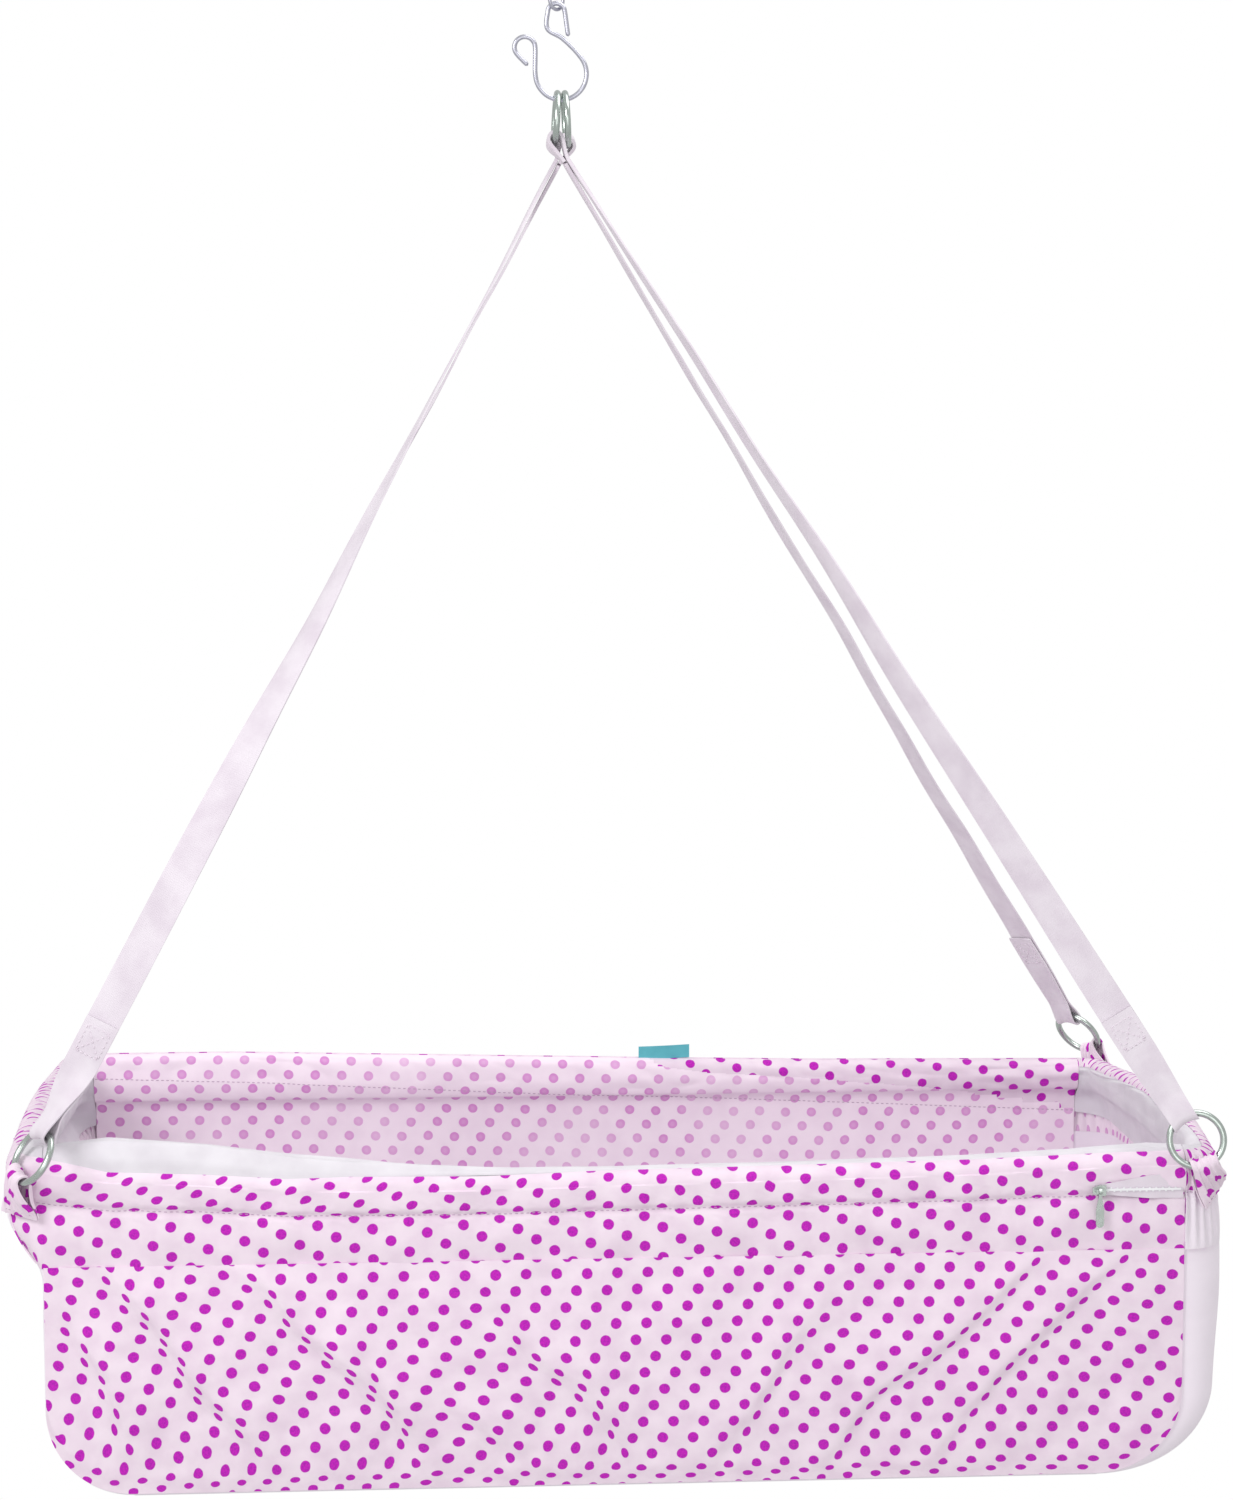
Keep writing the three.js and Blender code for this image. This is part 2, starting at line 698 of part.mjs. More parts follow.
// An elbow fills the corner arc and reaches into both tubes with a spigot.
function elbowGeometry(xSign, ySign) {
  const spigotRadius = railDiameter / 2 - railWall - spigotClearance;
  const arcRadius = basketCornerRadius - railInset;
  const bow = bowOf(xSign);
  const arcSteps = 6;
  const path = [];
  const radii = [];
  const tangents = [];
  const add = (x, y, angle, radius) => {
    path.push(vector(xSign * x, ySign * y, -railInset));
    radii.push(radius);
    tangents.push(vector(xSign * Math.sin(angle), -ySign * Math.cos(angle), 0));
  };
  for (const reach of [spigotLength, clearance, 0]) {
    add(seamX - reach, frontY - railInset, Math.PI / 2, spigotRadius);
  }
  for (let i = 0; i <= arcSteps; i += 1) {
    const angle = THREE.MathUtils.lerp(Math.PI / 2, bow.halfAngle, i / arcSteps);
    add(seamX + arcRadius * Math.cos(angle), cornerY + arcRadius * Math.sin(angle), angle, railDiameter / 2);
  }
  for (const reach of [0, clearance, spigotLength]) {
    const angle = bow.halfAngle - reach / bow.radius;
    const point = bowPoint(xSign, angle);
    add(Math.abs(point.x), point.y, angle, spigotRadius);
  }
  return roundBarGeometry(path, vector(0, 0, 1), (i) => radii[i], railSides, false, tangents);
}

// Panels and gussets

// How far the seam line of a panel lies below the rim at a distance from the middle.
function seamDepthAt(x) {
  const past = Math.max(Math.abs(x) - baseHalfLength, 0);
  const lift = panelCornerRadius - Math.sqrt(Math.max(panelCornerRadius ** 2 - past ** 2, 0));
  return seamDepth - lift;
}

// Main folds of the hanging panel, as ridges along slanted lines given in shares of its
// half length and depth: start and end of the ridge line, and its strength.
const foldShares = [
  { from: [-0.76, 0.2], to: [-0.38, 0.95], strength: 1 },
  { from: [-0.4, 0.2], to: [-0.1, 0.75], strength: 0.7 },
  { from: [0.86, 0.18], to: [0.55, 0.8], strength: 1 },
  { from: [0.58, 0.2], to: [0.2, 0.9], strength: 0.8 },
];

function foldAt(x, depth) {
  const place = new THREE.Vector2(x, depth);
  return foldShares.reduce((sum, { from, to, strength }) => {
    const start = new THREE.Vector2(from[0] * seamX, from[1] * seamDepth);
    const end = new THREE.Vector2(to[0] * seamX, to[1] * seamDepth);
    const line = end.clone().sub(start);
    const share = THREE.MathUtils.clamp(place.clone().sub(start).dot(line) / line.lengthSq(), 0, 1);
    const distance = place.distanceTo(start.addScaledVector(line, share));
    return sum + strength * foldDepth * Math.exp(-((distance / foldWidth) ** 2));
  }, 0);
}

function panelGeometry(ySign) {
  const top = bandHeight + clearance;
  return sheetGeometry(panelRows + 1, panelColumns + 1, (i, j, side) => {
    const x = seamX * Math.sin((Math.PI / 2) * (2 * j / panelColumns - 1));
    const depth = THREE.MathUtils.lerp(top, seamDepthAt(x), i / panelRows);
    const edge = Math.sin((Math.PI * i) / panelRows) * (1 - (x / seamX) ** 4);
    const swell = (panelBelly + foldAt(x, depth) * (ySign < 0 ? 1 : 0)) * edge;
    const y = frontY + swell - fabricThickness * side;
    return vector(x, ySign * y, -depth);
  });
}

// The gusset strip's section: the rim's end outline, drawn in to lie between the panels.
function gussetSection(xSign, inset) {
  const drawIn = (basketCornerRadius - fabricThickness - clearance) / basketCornerRadius;
  return endStations(xSign).map(({ point, inward }) => {
    const x = Math.abs(point.x + inward.x * inset) - seamX;
    const y = point.y + inward.y * inset;
    const past = Math.max(Math.abs(y) - cornerY, 0);
    return {
      y: Math.sign(y) * (Math.min(Math.abs(y), cornerY) + past * drawIn),
      end: Math.max(x, 0),
      base: (baseDrop - inset) * Math.min(Math.max(x, 0) / (basketCornerRadius - inset), 1),
    };
  });
}

function endGussetGeometry(xSign) {
  const faces = [0, fabricThickness].map((inset) => gussetSection(xSign, inset));
  const arcSteps = 7;
  const sideDepth = seamDepth - panelCornerRadius;
  const rowShares = [0, 1 / 4, 1 / 2, 3 / 4];
  const rows = rowShares.map((share) => (
    { depth: THREE.MathUtils.lerp(bandHeight + clearance, sideDepth, share), turn: 0 }
  ));
  for (let i = 0; i <= arcSteps; i += 1) {
    rows.push({ depth: sideDepth, turn: (Math.PI / 2) * (i / arcSteps) });
  }
  return sheetGeometry(rows.length, faces[0].length, (i, j, side) => {
    const { depth, turn } = rows[i];
    const section = faces[side][j];
    const share = smooth(turn / (Math.PI / 2));
    const end = Math.abs(drawnIn(xSign, xSign * (seamX + section.end), depth)) - seamX;
    const reach = panelCornerRadius + THREE.MathUtils.lerp(end, section.base, share);
    const stop = i === rows.length - 1 ? clearance / 2 : 0;
    const x = baseHalfLength + reach * Math.cos(turn) + stop;
    return vector(xSign * x, section.y, -depth - reach * Math.sin(turn));
  });
}

function baseGussetGeometry() {
  const faces = [0, fabricThickness].map((inset) => gussetSection(1, inset));
  const reach = baseHalfLength - clearance / 2;
  return sheetGeometry(2, faces[0].length, (i, j, side) => {
    const section = faces[side][j];
    return vector((2 * i - 1) * reach, section.y, -seamDepth - section.base);
  });
}

// Corner tabs: a strip of the dotted cloth through the ring, both ends sewn on the band

function tabGeometry(leg, xSign, ySign, tabTurnDegrees) {
  const tabTurn = THREE.MathUtils.degToRad(tabTurnDegrees);
  const wrap = wrapRadius(tabRingWidth, fabricThickness);
  const layer = fabricThickness / 2 + clearance;
  const outward = vector(xSign * Math.cos(tabTurn), ySign * Math.sin(tabTurn), 0);
  const corner = vector(basketX + xSign * seamX, ySign * cornerY, rimZ - tabDrop);
  const seat = along(corner, [outward, basketCornerRadius + clearance + fabricThickness / 2 + layer]);
  const ringNormal = leg.widthAt(leg.faceTurn).cross(leg.up);
  const towards = seat.clone().sub(leg.ringCentre);
  const radial = along(towards, [ringNormal, -towards.dot(ringNormal)]).normalize();
  const wire = along(leg.ringCentre, [radial, ringRadius]);
  const ringWidth = ringNormal.clone().cross(radial);
  const level = vector(0, 0, 1).cross(outward);
  if (level.dot(ringWidth) < 0) {
    level.negate();
  }
  const drop = seat.clone().sub(wire);
  const down = drop.clone().normalize();
  const length = drop.length();
  const taperShares = [1, 0.85, 0.7, 0.55, 0.4, 0.3, 0.2, 0.1, 0];
  const outAt = (share) => THREE.MathUtils.lerp(wrap, layer, smooth(share * 1.4));
  const stations = taperShares.map((share) => ({ reach: length * share, out: outAt(share), turn: 0 }));
  for (let i = 1; i < wrapSteps; i += 1) {
    const turn = (Math.PI * i) / wrapSteps;
    stations.push({ reach: -wrap * Math.sin(turn), out: wrap * Math.cos(turn), turn });
  }
  for (const share of [...taperShares].reverse()) {
    stations.push({ reach: length * share, out: -outAt(share), turn: Math.PI });
  }
  return sheetGeometry(stations.length, strapColumns + 1, (i, j, side) => {
    const { reach, out, turn } = stations[i];
    const share = THREE.MathUtils.clamp(reach / length, 0, 1);
    const blended = ringWidth.clone().lerp(level, smooth(share));
    const width = along(blended, [down, -blended.dot(down)]).normalize();
    const normal = width.clone().cross(down);
    const spread = THREE.MathUtils.lerp(tabRingWidth, tabWidth, smooth(share));
    const across = spread * (j / strapColumns - 1 / 2);
    const curve = sagitta(ringRadius, Math.min(Math.abs(across), tabRingWidth / 2));
    const bow = curve * (1 - smooth(share * 1.6));
    const centre = along(wire, [down, reach], [radial, -bow], [normal, out]);
    const faceNormal = along(vector(0, 0, 0), [normal, Math.cos(turn)], [down, -Math.sin(turn)]);
    return along(centre, [width, across], [faceNormal, fabricThickness * (side - 1 / 2)]);
  });
}

// Base board and mattress

function roundedOutline(halfLength, halfWidth, radius) {
  const shape = new THREE.Shape();
  shape.absarc(halfLength - radius, halfWidth - radius, radius, 0, Math.PI / 2, false);
  shape.absarc(radius - halfLength, halfWidth - radius, radius, Math.PI / 2, Math.PI, false);
  shape.absarc(radius - halfLength, radius - halfWidth, radius, Math.PI, 1.5 * Math.PI, false);
  shape.absarc(halfLength - radius, radius - halfWidth, radius, 1.5 * Math.PI, 2 * Math.PI, false);
  shape.closePath();
  return shape;
}

const boardZ = -basketHeight + fabricThickness + clearance;
const mattressZ = boardZ + boardThickness + clearance;

function boardGeometry() {
  const shape = roundedOutline(baseHalfLength - boardMargin, cornerY - boardMargin, boardCornerRadius);
  const settings = { depth: boardThickness, bevelEnabled: false, curveSegments: 6 };
  const board = new THREE.ExtrudeGeometry(shape, settings);
  return board.translate(0, 0, boardZ);
}

// The mattress is a stack of rounded outlines: flat below, sides drawn in between the
// corners, and a crowned top that closes towards the middle.
function mattressGeometry() {
  const outline = roundedOutline(mattressLength / 2, mattressWidth / 2, mattressCornerRadius);
  const points = outline.getSpacedPoints(56).slice(0, -1);
  const side = mattressThickness - mattressCrown;
  const levels = [{ inset: mattressEdge, height: 0 }];
  const sideShares = [0.25, 0.5, 0.75, 1];
  const topShares = [0.2, 0.45, 0.75, 0.95];
  const edgeShare = 0.9;
  for (const share of sideShares) {
    const bulge = Math.sin(Math.PI * share);
    levels.push({ inset: mattressEdge * (1 - bulge) ** 2, height: side * share });
  }
  for (const share of topShares) {
    const inset = mattressEdge + (mattressWidth / 2 - mattressEdge) * share;
    levels.push({ inset, height: side + mattressCrown * Math.sin((Math.PI / 2) * share) });
  }
  const loops = levels.map(({ inset, height }) => points.map((p) => {
    const alongShare = 2 * p.x / mattressLength;
    const acrossShare = 2 * p.y / mattressWidth;
    const pull = mattressDrawIn * Math.max(Math.abs(alongShare), Math.abs(acrossShare));
    const onEnd = Math.abs(alongShare) > edgeShare ? Math.sign(p.x) : 0;
    const onSide = Math.abs(acrossShare) > edgeShare ? Math.sign(p.y) : 0;
    const drawX = pull * (1 - acrossShare ** 2) * onEnd;
    const drawY = pull * (1 - alongShare ** 2) * onSide;
    const x = (p.x - drawX) * (1 - inset / (mattressLength / 2));
    const y = (p.y - drawY) * (1 - inset / (mattressWidth / 2));
    return vector(x, y, mattressZ + height);
  }));
  return loopStackGeometry(loops, false);
}

// Casing zip

const zipRight = seamX - zipEndMargin;
const zipLeft = zipRight - zipLength;
const zipZ = -zipDrop;
const tapeY = -frontY - clearance;
const teethY = tapeY - zipTapeThickness - clearance;
const sliderX = zipLeft + sliderLength / 2;
const sliderY = teethY - zipTeethThickness - clearance;
const pinY = sliderY - sliderThickness - pinStandOff;

function zipTapeGeometry() {
  return box(zipLength, zipTapeThickness, zipTapeHeight,
    (zipLeft + zipRight) / 2, tapeY - zipTapeThickness / 2, zipZ);
}

// The closed teeth: a core strip with a row of ribs along each edge, set half a pitch apart.
function zipTeethGeometry() {
  const start = zipLeft + zipEndMargin;
  const end = zipRight - zipEndMargin;
  const centreY = teethY - zipTeethThickness / 2;
  const core = box(end - start, zipTeethThickness, zipTeethHeight / 2, (start + end) / 2, centreY, zipZ);
  let teeth = solidFrom(core);
  const count = Math.floor((end - start) / zipToothPitch) - 1;
  for (let i = 0; i < count; i += 1) {
    const rowSign = i % 2 === 0 ? 1 : -1;
    const x = start + (i + 1) * zipToothPitch;
    const tooth = box(zipToothPitch / 2, zipTeethThickness, zipTeethHeight / 2,
      x, centreY, zipZ + (rowSign * zipTeethHeight) / 4);
    teeth = teeth.add(solidFrom(tooth));
  }
  return geometryFrom(teeth);
}

function zipSliderGeometry() {
  const plate = new THREE.Shape();
  const half = sliderLength / 2;
  const tall = sliderHeight / 2;
  const noseShare = 0.55;
  plate.moveTo(-half, -tall * noseShare);
  plate.lineTo(0, -tall);
  plate.lineTo(half, -tall);
  plate.lineTo(half, tall);
  plate.lineTo(0, tall);
  plate.lineTo(-half, tall * noseShare);
  plate.closePath();
  const body = new THREE.ExtrudeGeometry(plate, { depth: sliderThickness, bevelEnabled: false })
    .rotateX(Math.PI / 2)
    .translate(sliderX, sliderY, zipZ);
  let slider = solidFrom(body);
  const lugReach = pinStandOff + pinRadius * 2;
  for (const lugSign of [-1, 1]) {
    const lugX = sliderX + lugSign * (lugGap + lugThickness) / 2;
    const lug = box(lugThickness, lugReach + sliderThickness / 2, lugHeight,
      lugX, sliderY - sliderThickness / 2 - (lugReach + sliderThickness / 2) / 2, zipZ);
    slider = slider.add(solidFrom(lug));
  }
  const pin = cylinderAlongX(pinRadius, lugGap + lugThickness, railSides, sliderX, pinY, zipZ);
  return geometryFrom(slider.add(solidFrom(pin)));
}

// The pull hangs on the slider's pin by a knuckle and widens to a rounded tab.
function zipPullGeometry() {
  const knuckleRadius = pinRadius + clearance + pullThickness;
  const knuckleWidth = lugGap - 2 * clearance;
  const tab = new THREE.Shape();
  const half = pullWidth / 2;
  const neck = knuckleWidth / 2;
  tab.moveTo(neck, -knuckleRadius / 2);
  tab.lineTo(neck, -knuckleRadius - neck);
  tab.lineTo(half, -pullLength / 2);
  tab.lineTo(half, half - pullLength);
  tab.absarc(0, half - pullLength, half, 0, -Math.PI, true);
  tab.lineTo(-half, -pullLength / 2);
  tab.lineTo(-neck, -knuckleRadius - neck);
  tab.lineTo(-neck, -knuckleRadius / 2);
  tab.closePath();
  const settings = { depth: pullThickness, bevelEnabled: false, curveSegments: 6 };
  const flat = new THREE.ExtrudeGeometry(tab, settings)
    .rotateX(Math.PI / 2)
    .translate(sliderX, pinY + pullThickness / 2, zipZ);
  const knuckle = cylinderAlongX(knuckleRadius, knuckleWidth, railSides, sliderX, pinY, zipZ);
  const bore = cylinderAlongX(pinRadius + clearance, lugGap, railSides, sliderX, pinY, zipZ);
  return geometryFrom(solidFrom(flat).add(solidFrom(knuckle)).subtract(solidFrom(bore)));
}

function labelGeometry() {
  const z = clearance + labelHeight / 2;
  return box(labelWidth, labelThickness, labelHeight, labelOffset, frontY - railInset, z);
}

// Assembly

const cradle = new THREE.Group();

function addMesh(group, name, geometry, material) {
  const mesh = new THREE.Mesh(geometry, material);
  mesh.name = name;
  group.add(mesh);
  return mesh;
}

const link = addMesh(cradle, "hanger_link", hangerLinkGeometry(), steel);
link.rotation.z = linkTurn;

addMesh(cradle, "s_hook", hookGeometry(), steel);

const sides = [
  { side: "left", xSign: -1 },
  { side: "right", xSign: 1 },
];

for (const { side, xSign } of sides) {
  const place = apexRing(xSign);
  const ring = addMesh(cradle, `apex_ring_${side}`, ringGeometry(), nickel);
  ring.position.copy(place.centre);
  ring.rotation.y = Math.PI / 2 - xSign * apexTilt;
  addMesh(cradle, `strap_eye_${side}`, strapEyeGeometry(xSign), webbing);
}

// How far each strap has turned from edge on where it meets its ring, and which way round
// the basket's corner its ring's tab is sewn
const corners = [
  { corner: "front_left", xSign: -1, ySign: -1, faceTurnDegrees: 32, tabTurnDegrees: 60 },
  { corner: "front_right", xSign: 1, ySign: -1, faceTurnDegrees: 85, tabTurnDegrees: 42 },
  { corner: "rear_left", xSign: -1, ySign: 1, faceTurnDegrees: -30, tabTurnDegrees: 60 },
  { corner: "rear_right", xSign: 1, ySign: 1, faceTurnDegrees: 33, tabTurnDegrees: 42 },
];

for (const { corner, xSign, ySign, faceTurnDegrees, tabTurnDegrees } of corners) {
  const leg = strapLeg(xSign, ySign, faceTurnDegrees);
  addMesh(cradle, `strap_${corner}`, strapLegGeometry(leg), webbing);
  const width = leg.widthAt(leg.faceTurn);
  const ring = addMesh(cradle, `corner_ring_${corner}`, ringGeometry(), nickel);
  ring.position.copy(leg.ringCentre);
  ring.quaternion.setFromRotationMatrix(
    new THREE.Matrix4().makeBasis(width, leg.up, width.clone().cross(leg.up)),
  );
  addMesh(cradle, `corner_tab_${corner}`, tabGeometry(leg, xSign, ySign, tabTurnDegrees), dotted);
}

const basket = new THREE.Group();
basket.position.set(basketX, 0, rimZ);
cradle.add(basket);

// The front's facing is white and the rear's is of the dotted cloth.
const walls = [
  { side: "front", ySign: -1, facing: lining },
  { side: "rear", ySign: 1, facing: dotted },
];

for (const { side, ySign, facing } of walls) {
  const stations = straightStations(ySign);
  addMesh(basket, `${side}_band`, stripGeometry(stations, bandLine()), dotted);
  addMesh(basket, `${side}_facing`, stripGeometry(stations, facingLine()), facing);
  addMesh(basket, `${side}_rail`, railGeometry(ySign), tubeMetal);
  addMesh(basket, `${side}_panel`, panelGeometry(ySign), dotted);
}

for (const { side, xSign } of sides) {
  const stations = endStations(xSign);
  addMesh(basket, `${side}_band`, stripGeometry(stations, bandLine()), dotted);
  addMesh(basket, `${side}_facing`, stripGeometry(stations, facingLine()), lining);
  addMesh(basket, `${side}_bow`, bowGeometry(xSign), tubeMetal);
  addMesh(basket, `${side}_gusset`, endGussetGeometry(xSign), gussetCloth);
}

for (const { corner, xSign, ySign } of corners) {
  addMesh(basket, `rail_elbow_${corner}`, elbowGeometry(xSign, ySign), elbowPlastic);
}

addMesh(basket, "base_gusset", baseGussetGeometry(), gussetCloth);
addMesh(basket, "base_board", boardGeometry(), boardMaterial);
addMesh(basket, "mattress", mattressGeometry(), lining);
addMesh(basket, "zip_tape", zipTapeGeometry(), zipPlastic);
addMesh(basket, "zip_teeth", zipTeethGeometry(), zipPlastic);
addMesh(basket, "zip_slider", zipSliderGeometry(), nickel);
addMesh(basket, "zip_pull", zipPullGeometry(), nickel);
addMesh(basket, "label_tab", labelGeometry(), tealCloth);

export default cradle;
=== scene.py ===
"""Looks of a fabric baby cradle that hangs on webbing straps from an S-hook.

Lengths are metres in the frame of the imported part: +X along the basket, -Y the front, +Z up,
the origin at the hanging point. Each sub-assembly is a class that holds its sizes, works its
surfaces out on numpy grids, rows by columns, and dresses them.
"""

import logging
import math
from collections.abc import Sequence
from dataclasses import dataclass
from enum import Enum

import bpy
import numpy as np
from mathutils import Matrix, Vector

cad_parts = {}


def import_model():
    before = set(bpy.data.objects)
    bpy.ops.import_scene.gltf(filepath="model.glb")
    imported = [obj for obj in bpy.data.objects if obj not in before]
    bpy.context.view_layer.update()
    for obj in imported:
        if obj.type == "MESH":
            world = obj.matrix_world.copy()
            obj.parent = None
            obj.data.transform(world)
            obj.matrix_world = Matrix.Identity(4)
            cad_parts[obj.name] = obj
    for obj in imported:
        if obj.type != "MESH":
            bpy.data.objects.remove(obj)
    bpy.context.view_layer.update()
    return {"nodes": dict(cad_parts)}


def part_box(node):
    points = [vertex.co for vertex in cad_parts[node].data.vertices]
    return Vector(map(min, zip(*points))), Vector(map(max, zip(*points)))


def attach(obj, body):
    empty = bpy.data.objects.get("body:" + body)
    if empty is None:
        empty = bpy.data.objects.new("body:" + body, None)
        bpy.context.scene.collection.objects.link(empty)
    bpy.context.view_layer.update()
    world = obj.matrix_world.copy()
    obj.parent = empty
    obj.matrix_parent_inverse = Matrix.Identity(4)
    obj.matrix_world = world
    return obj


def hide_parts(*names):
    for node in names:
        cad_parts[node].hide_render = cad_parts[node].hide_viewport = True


LOG = logging.getLogger("cradle")

Array = np.ndarray
Rgb = tuple[float, float, float]
Pair = tuple[float, float]
Knots = tuple[Pair, ...]
Socket = bpy.types.NodeSocket
Material = bpy.types.Material
Piece = bpy.types.Object

BASKET_X = 0.036
SEAM_X = 0.416
FRONT_Y = 0.195
CORNER_RADIUS = 0.028
CORNER_Y = FRONT_Y - CORNER_RADIUS
LEFT_BOW = 0.003
RIGHT_BOW = 0.010
BASE_DROP = 0.006
SEAM_DEPTH = 0.232
PANEL_CORNER = 0.062
BAND_HEIGHT = 0.064
RAIL_INSET = 0.0102
CASING_RADIUS = 0.0094
CLOTH = 0.0011
RING_RADIUS = 0.0195
RING_WIRE = 0.005
STRAP_WIDTH = 0.025
STRAP_THICKNESS = 0.0015

UP = np.array([0.0, 0.0, 1.0])
REARWARD = np.array([0.0, 1.0, 0.0])
ENDS = (("left", -1), ("right", 1))
HALF_TURN = math.pi
FULL_TURN = 2.0 * math.pi


def srgb(red: int, green: int, blue: int) -> Rgb:
    """Turn a colour of the photograph's kind, 0 to 255, into linear values."""
    shares = (red / 255, green / 255, blue / 255)
    return tuple(s / 12.92 if s <= 0.04045 else ((s + 0.055) / 1.055) ** 2.4 for s in shares)


def smooth(share: Array) -> Array:
    """Ease from 0 to 1 with level ends: 3 s^2 - 2 s^3, held outside 0 to 1."""
    held = np.clip(share, 0.0, 1.0)
    return held * held * (3.0 - 2.0 * held)


def arch(share: Array, power: float = 1.0) -> Array:
    """A half wave that is 0 at shares 0 and 1 and 1 in the middle: sin(pi s) ^ power."""
    return np.clip(np.sin(math.pi * np.clip(share, 0.0, 1.0)), 0.0, 1.0) ** power


def bell(x: Array, width: Array) -> Array:
    """A bell that is 1 at zero: exp(-(x / width)^2)."""
    return np.exp(-((x / width) ** 2))


def unit(vectors: Array) -> Array:
    """Scale vectors along the last axis to length one."""
    return vectors / np.maximum(np.linalg.norm(vectors, axis=-1, keepdims=True), 1e-12)


def lerp(start: Array, end: Array, share: Array) -> Array:
    """Blend two values: start + (end - start) * share."""
    return start + (end - start) * share


def sagitta(radius: float, half_chord: Array) -> Array:
    """Height of an arc over its chord: r - sqrt(r^2 - c^2)."""
    return radius - np.sqrt(np.maximum(radius**2 - half_chord**2, 0.0))


def through(x: Array, knots: Sequence[Pair]) -> Array:
    """Straight lines through knots, each a place and its value, level beyond them."""
    places, values = zip(*knots)
    return np.interp(x, places, values)


def ripple(across: Array, down: Array, length: float, seed: int, waves: int = 9) -> Array:
    """Soft irregular waves, about -1 to 1.

    The sum of sines whose wave vectors have seeded directions and lengths near the one given,
    divided by the root of their number.

    Args:
        across: First coordinate of each point.
        down: Second coordinate of each point.
        length: Middle wavelength.
        seed: Seed of the directions and phases.
        waves: Number of sines.

    Returns:
        One value for each point.
    """
    random = np.random.default_rng(seed)
    total = np.zeros(np.broadcast(across, down).shape)
    for _ in range(waves):
        angle = random.uniform(0.0, math.pi)
        size = length * random.uniform(0.6, 1.6)
        phase = random.uniform(0.0, FULL_TURN)
        total += np.sin(FULL_TURN * (across * math.cos(angle) + down * math.sin(angle)) / size + phase)
    return total / math.sqrt(waves)


def lengths(points: Array, axis: int) -> Array:
    """Running length of a grid's lines along an axis, from zero."""
    steps = np.linalg.norm(np.diff(points, axis=axis), axis=-1)
    start = np.zeros_like(np.take(steps, [0], axis=axis))
    return np.cumsum(np.concatenate([start, steps], axis=axis), axis=axis)


def measured(points: Array) -> Pair:
    """Mean length of a grid's columns and of its rows."""
    return float(lengths(points, 0)[-1].mean()), float(lengths(points, 1)[:, -1].mean())


def normals(points: Array) -> Array:
    """Unit normals of a grid: the cross product of its two tangents at each point."""
    return unit(np.cross(np.gradient(points, axis=0), np.gradient(points, axis=1)))


def resample(stations: Array, run: Array, values: Array) -> Array:
    """Each column of values, given at running lengths, at new stations between them."""
    return np.stack([np.interp(stations, run, column) for column in values.T], axis=-1)


def spline(points: Array, per_span: int) -> Array:
    """Centripetal Catmull-Rom spline through points.

    Knots lie apart by the root of the distance between points, and each span is a cubic with
    matching tangents.

    Args:
        points: The points.
        per_span: Samples of each span.

    Returns:
        Points of the curve.
    """
    padded = np.concatenate([2 * points[:1] - points[1:2], points, 2 * points[-1:] - points[-2:-1]])
    p0, p1, p2, p3 = padded[:-3], padded[1:-2], padded[2:-1], padded[3:]
    spans = ((p0, p1), (p1, p2), (p2, p3))
    d0, d1, d2 = (np.sqrt(np.linalg.norm(b - a, axis=-1, keepdims=True)) for a, b in spans)
    m1 = ((p1 - p0) / d0 - (p2 - p0) / (d0 + d1) + (p2 - p1) / d1) * d1
    m2 = ((p2 - p1) / d1 - (p3 - p1) / (d1 + d2) + (p3 - p2) / d2) * d1
    t = np.linspace(0.0, 1.0, per_span, endpoint=False)[None, :, None]
    p1, p2, m1, m2 = (a[:, None, :] for a in (p1, p2, m1, m2))
    square, cube = 3 * p2 - 3 * p1 - 2 * m1 - m2, 2 * p1 - 2 * p2 + m1 + m2
    curve = p1 + m1 * t + square * t**2 + cube * t**3
    return np.concatenate([curve.reshape(-1, points.shape[-1]), points[-1:]])


def along_line(points: Array, pitch: float) -> tuple[Array, Array]:
    """Places at an even pitch along a polyline, with its direction there.

    Args:
        points: The polyline.
        pitch: Distance between places.

    Returns:
        The places and the unit directions.
    """
    run = lengths(points[:, None, :], 0)[:, 0]
    count = max(int(run[-1] / pitch), 2)
    stations = (np.arange(count) + 0.5) * run[-1] / count
    return resample(stations, run, points), unit(resample(stations, run, np.gradient(points, axis=0)))


class Weave(Enum):
    """Ways in which a cloth is woven, each with its two thread pitches in metres."""

    PLAIN = (0.0006, 0.0006)
    TAPE = (0.0011, 0.0016)


class Face(Enum):
    """The side of a printed cloth."""

    PRINTED = "printed"
    WRONG = "wrong"


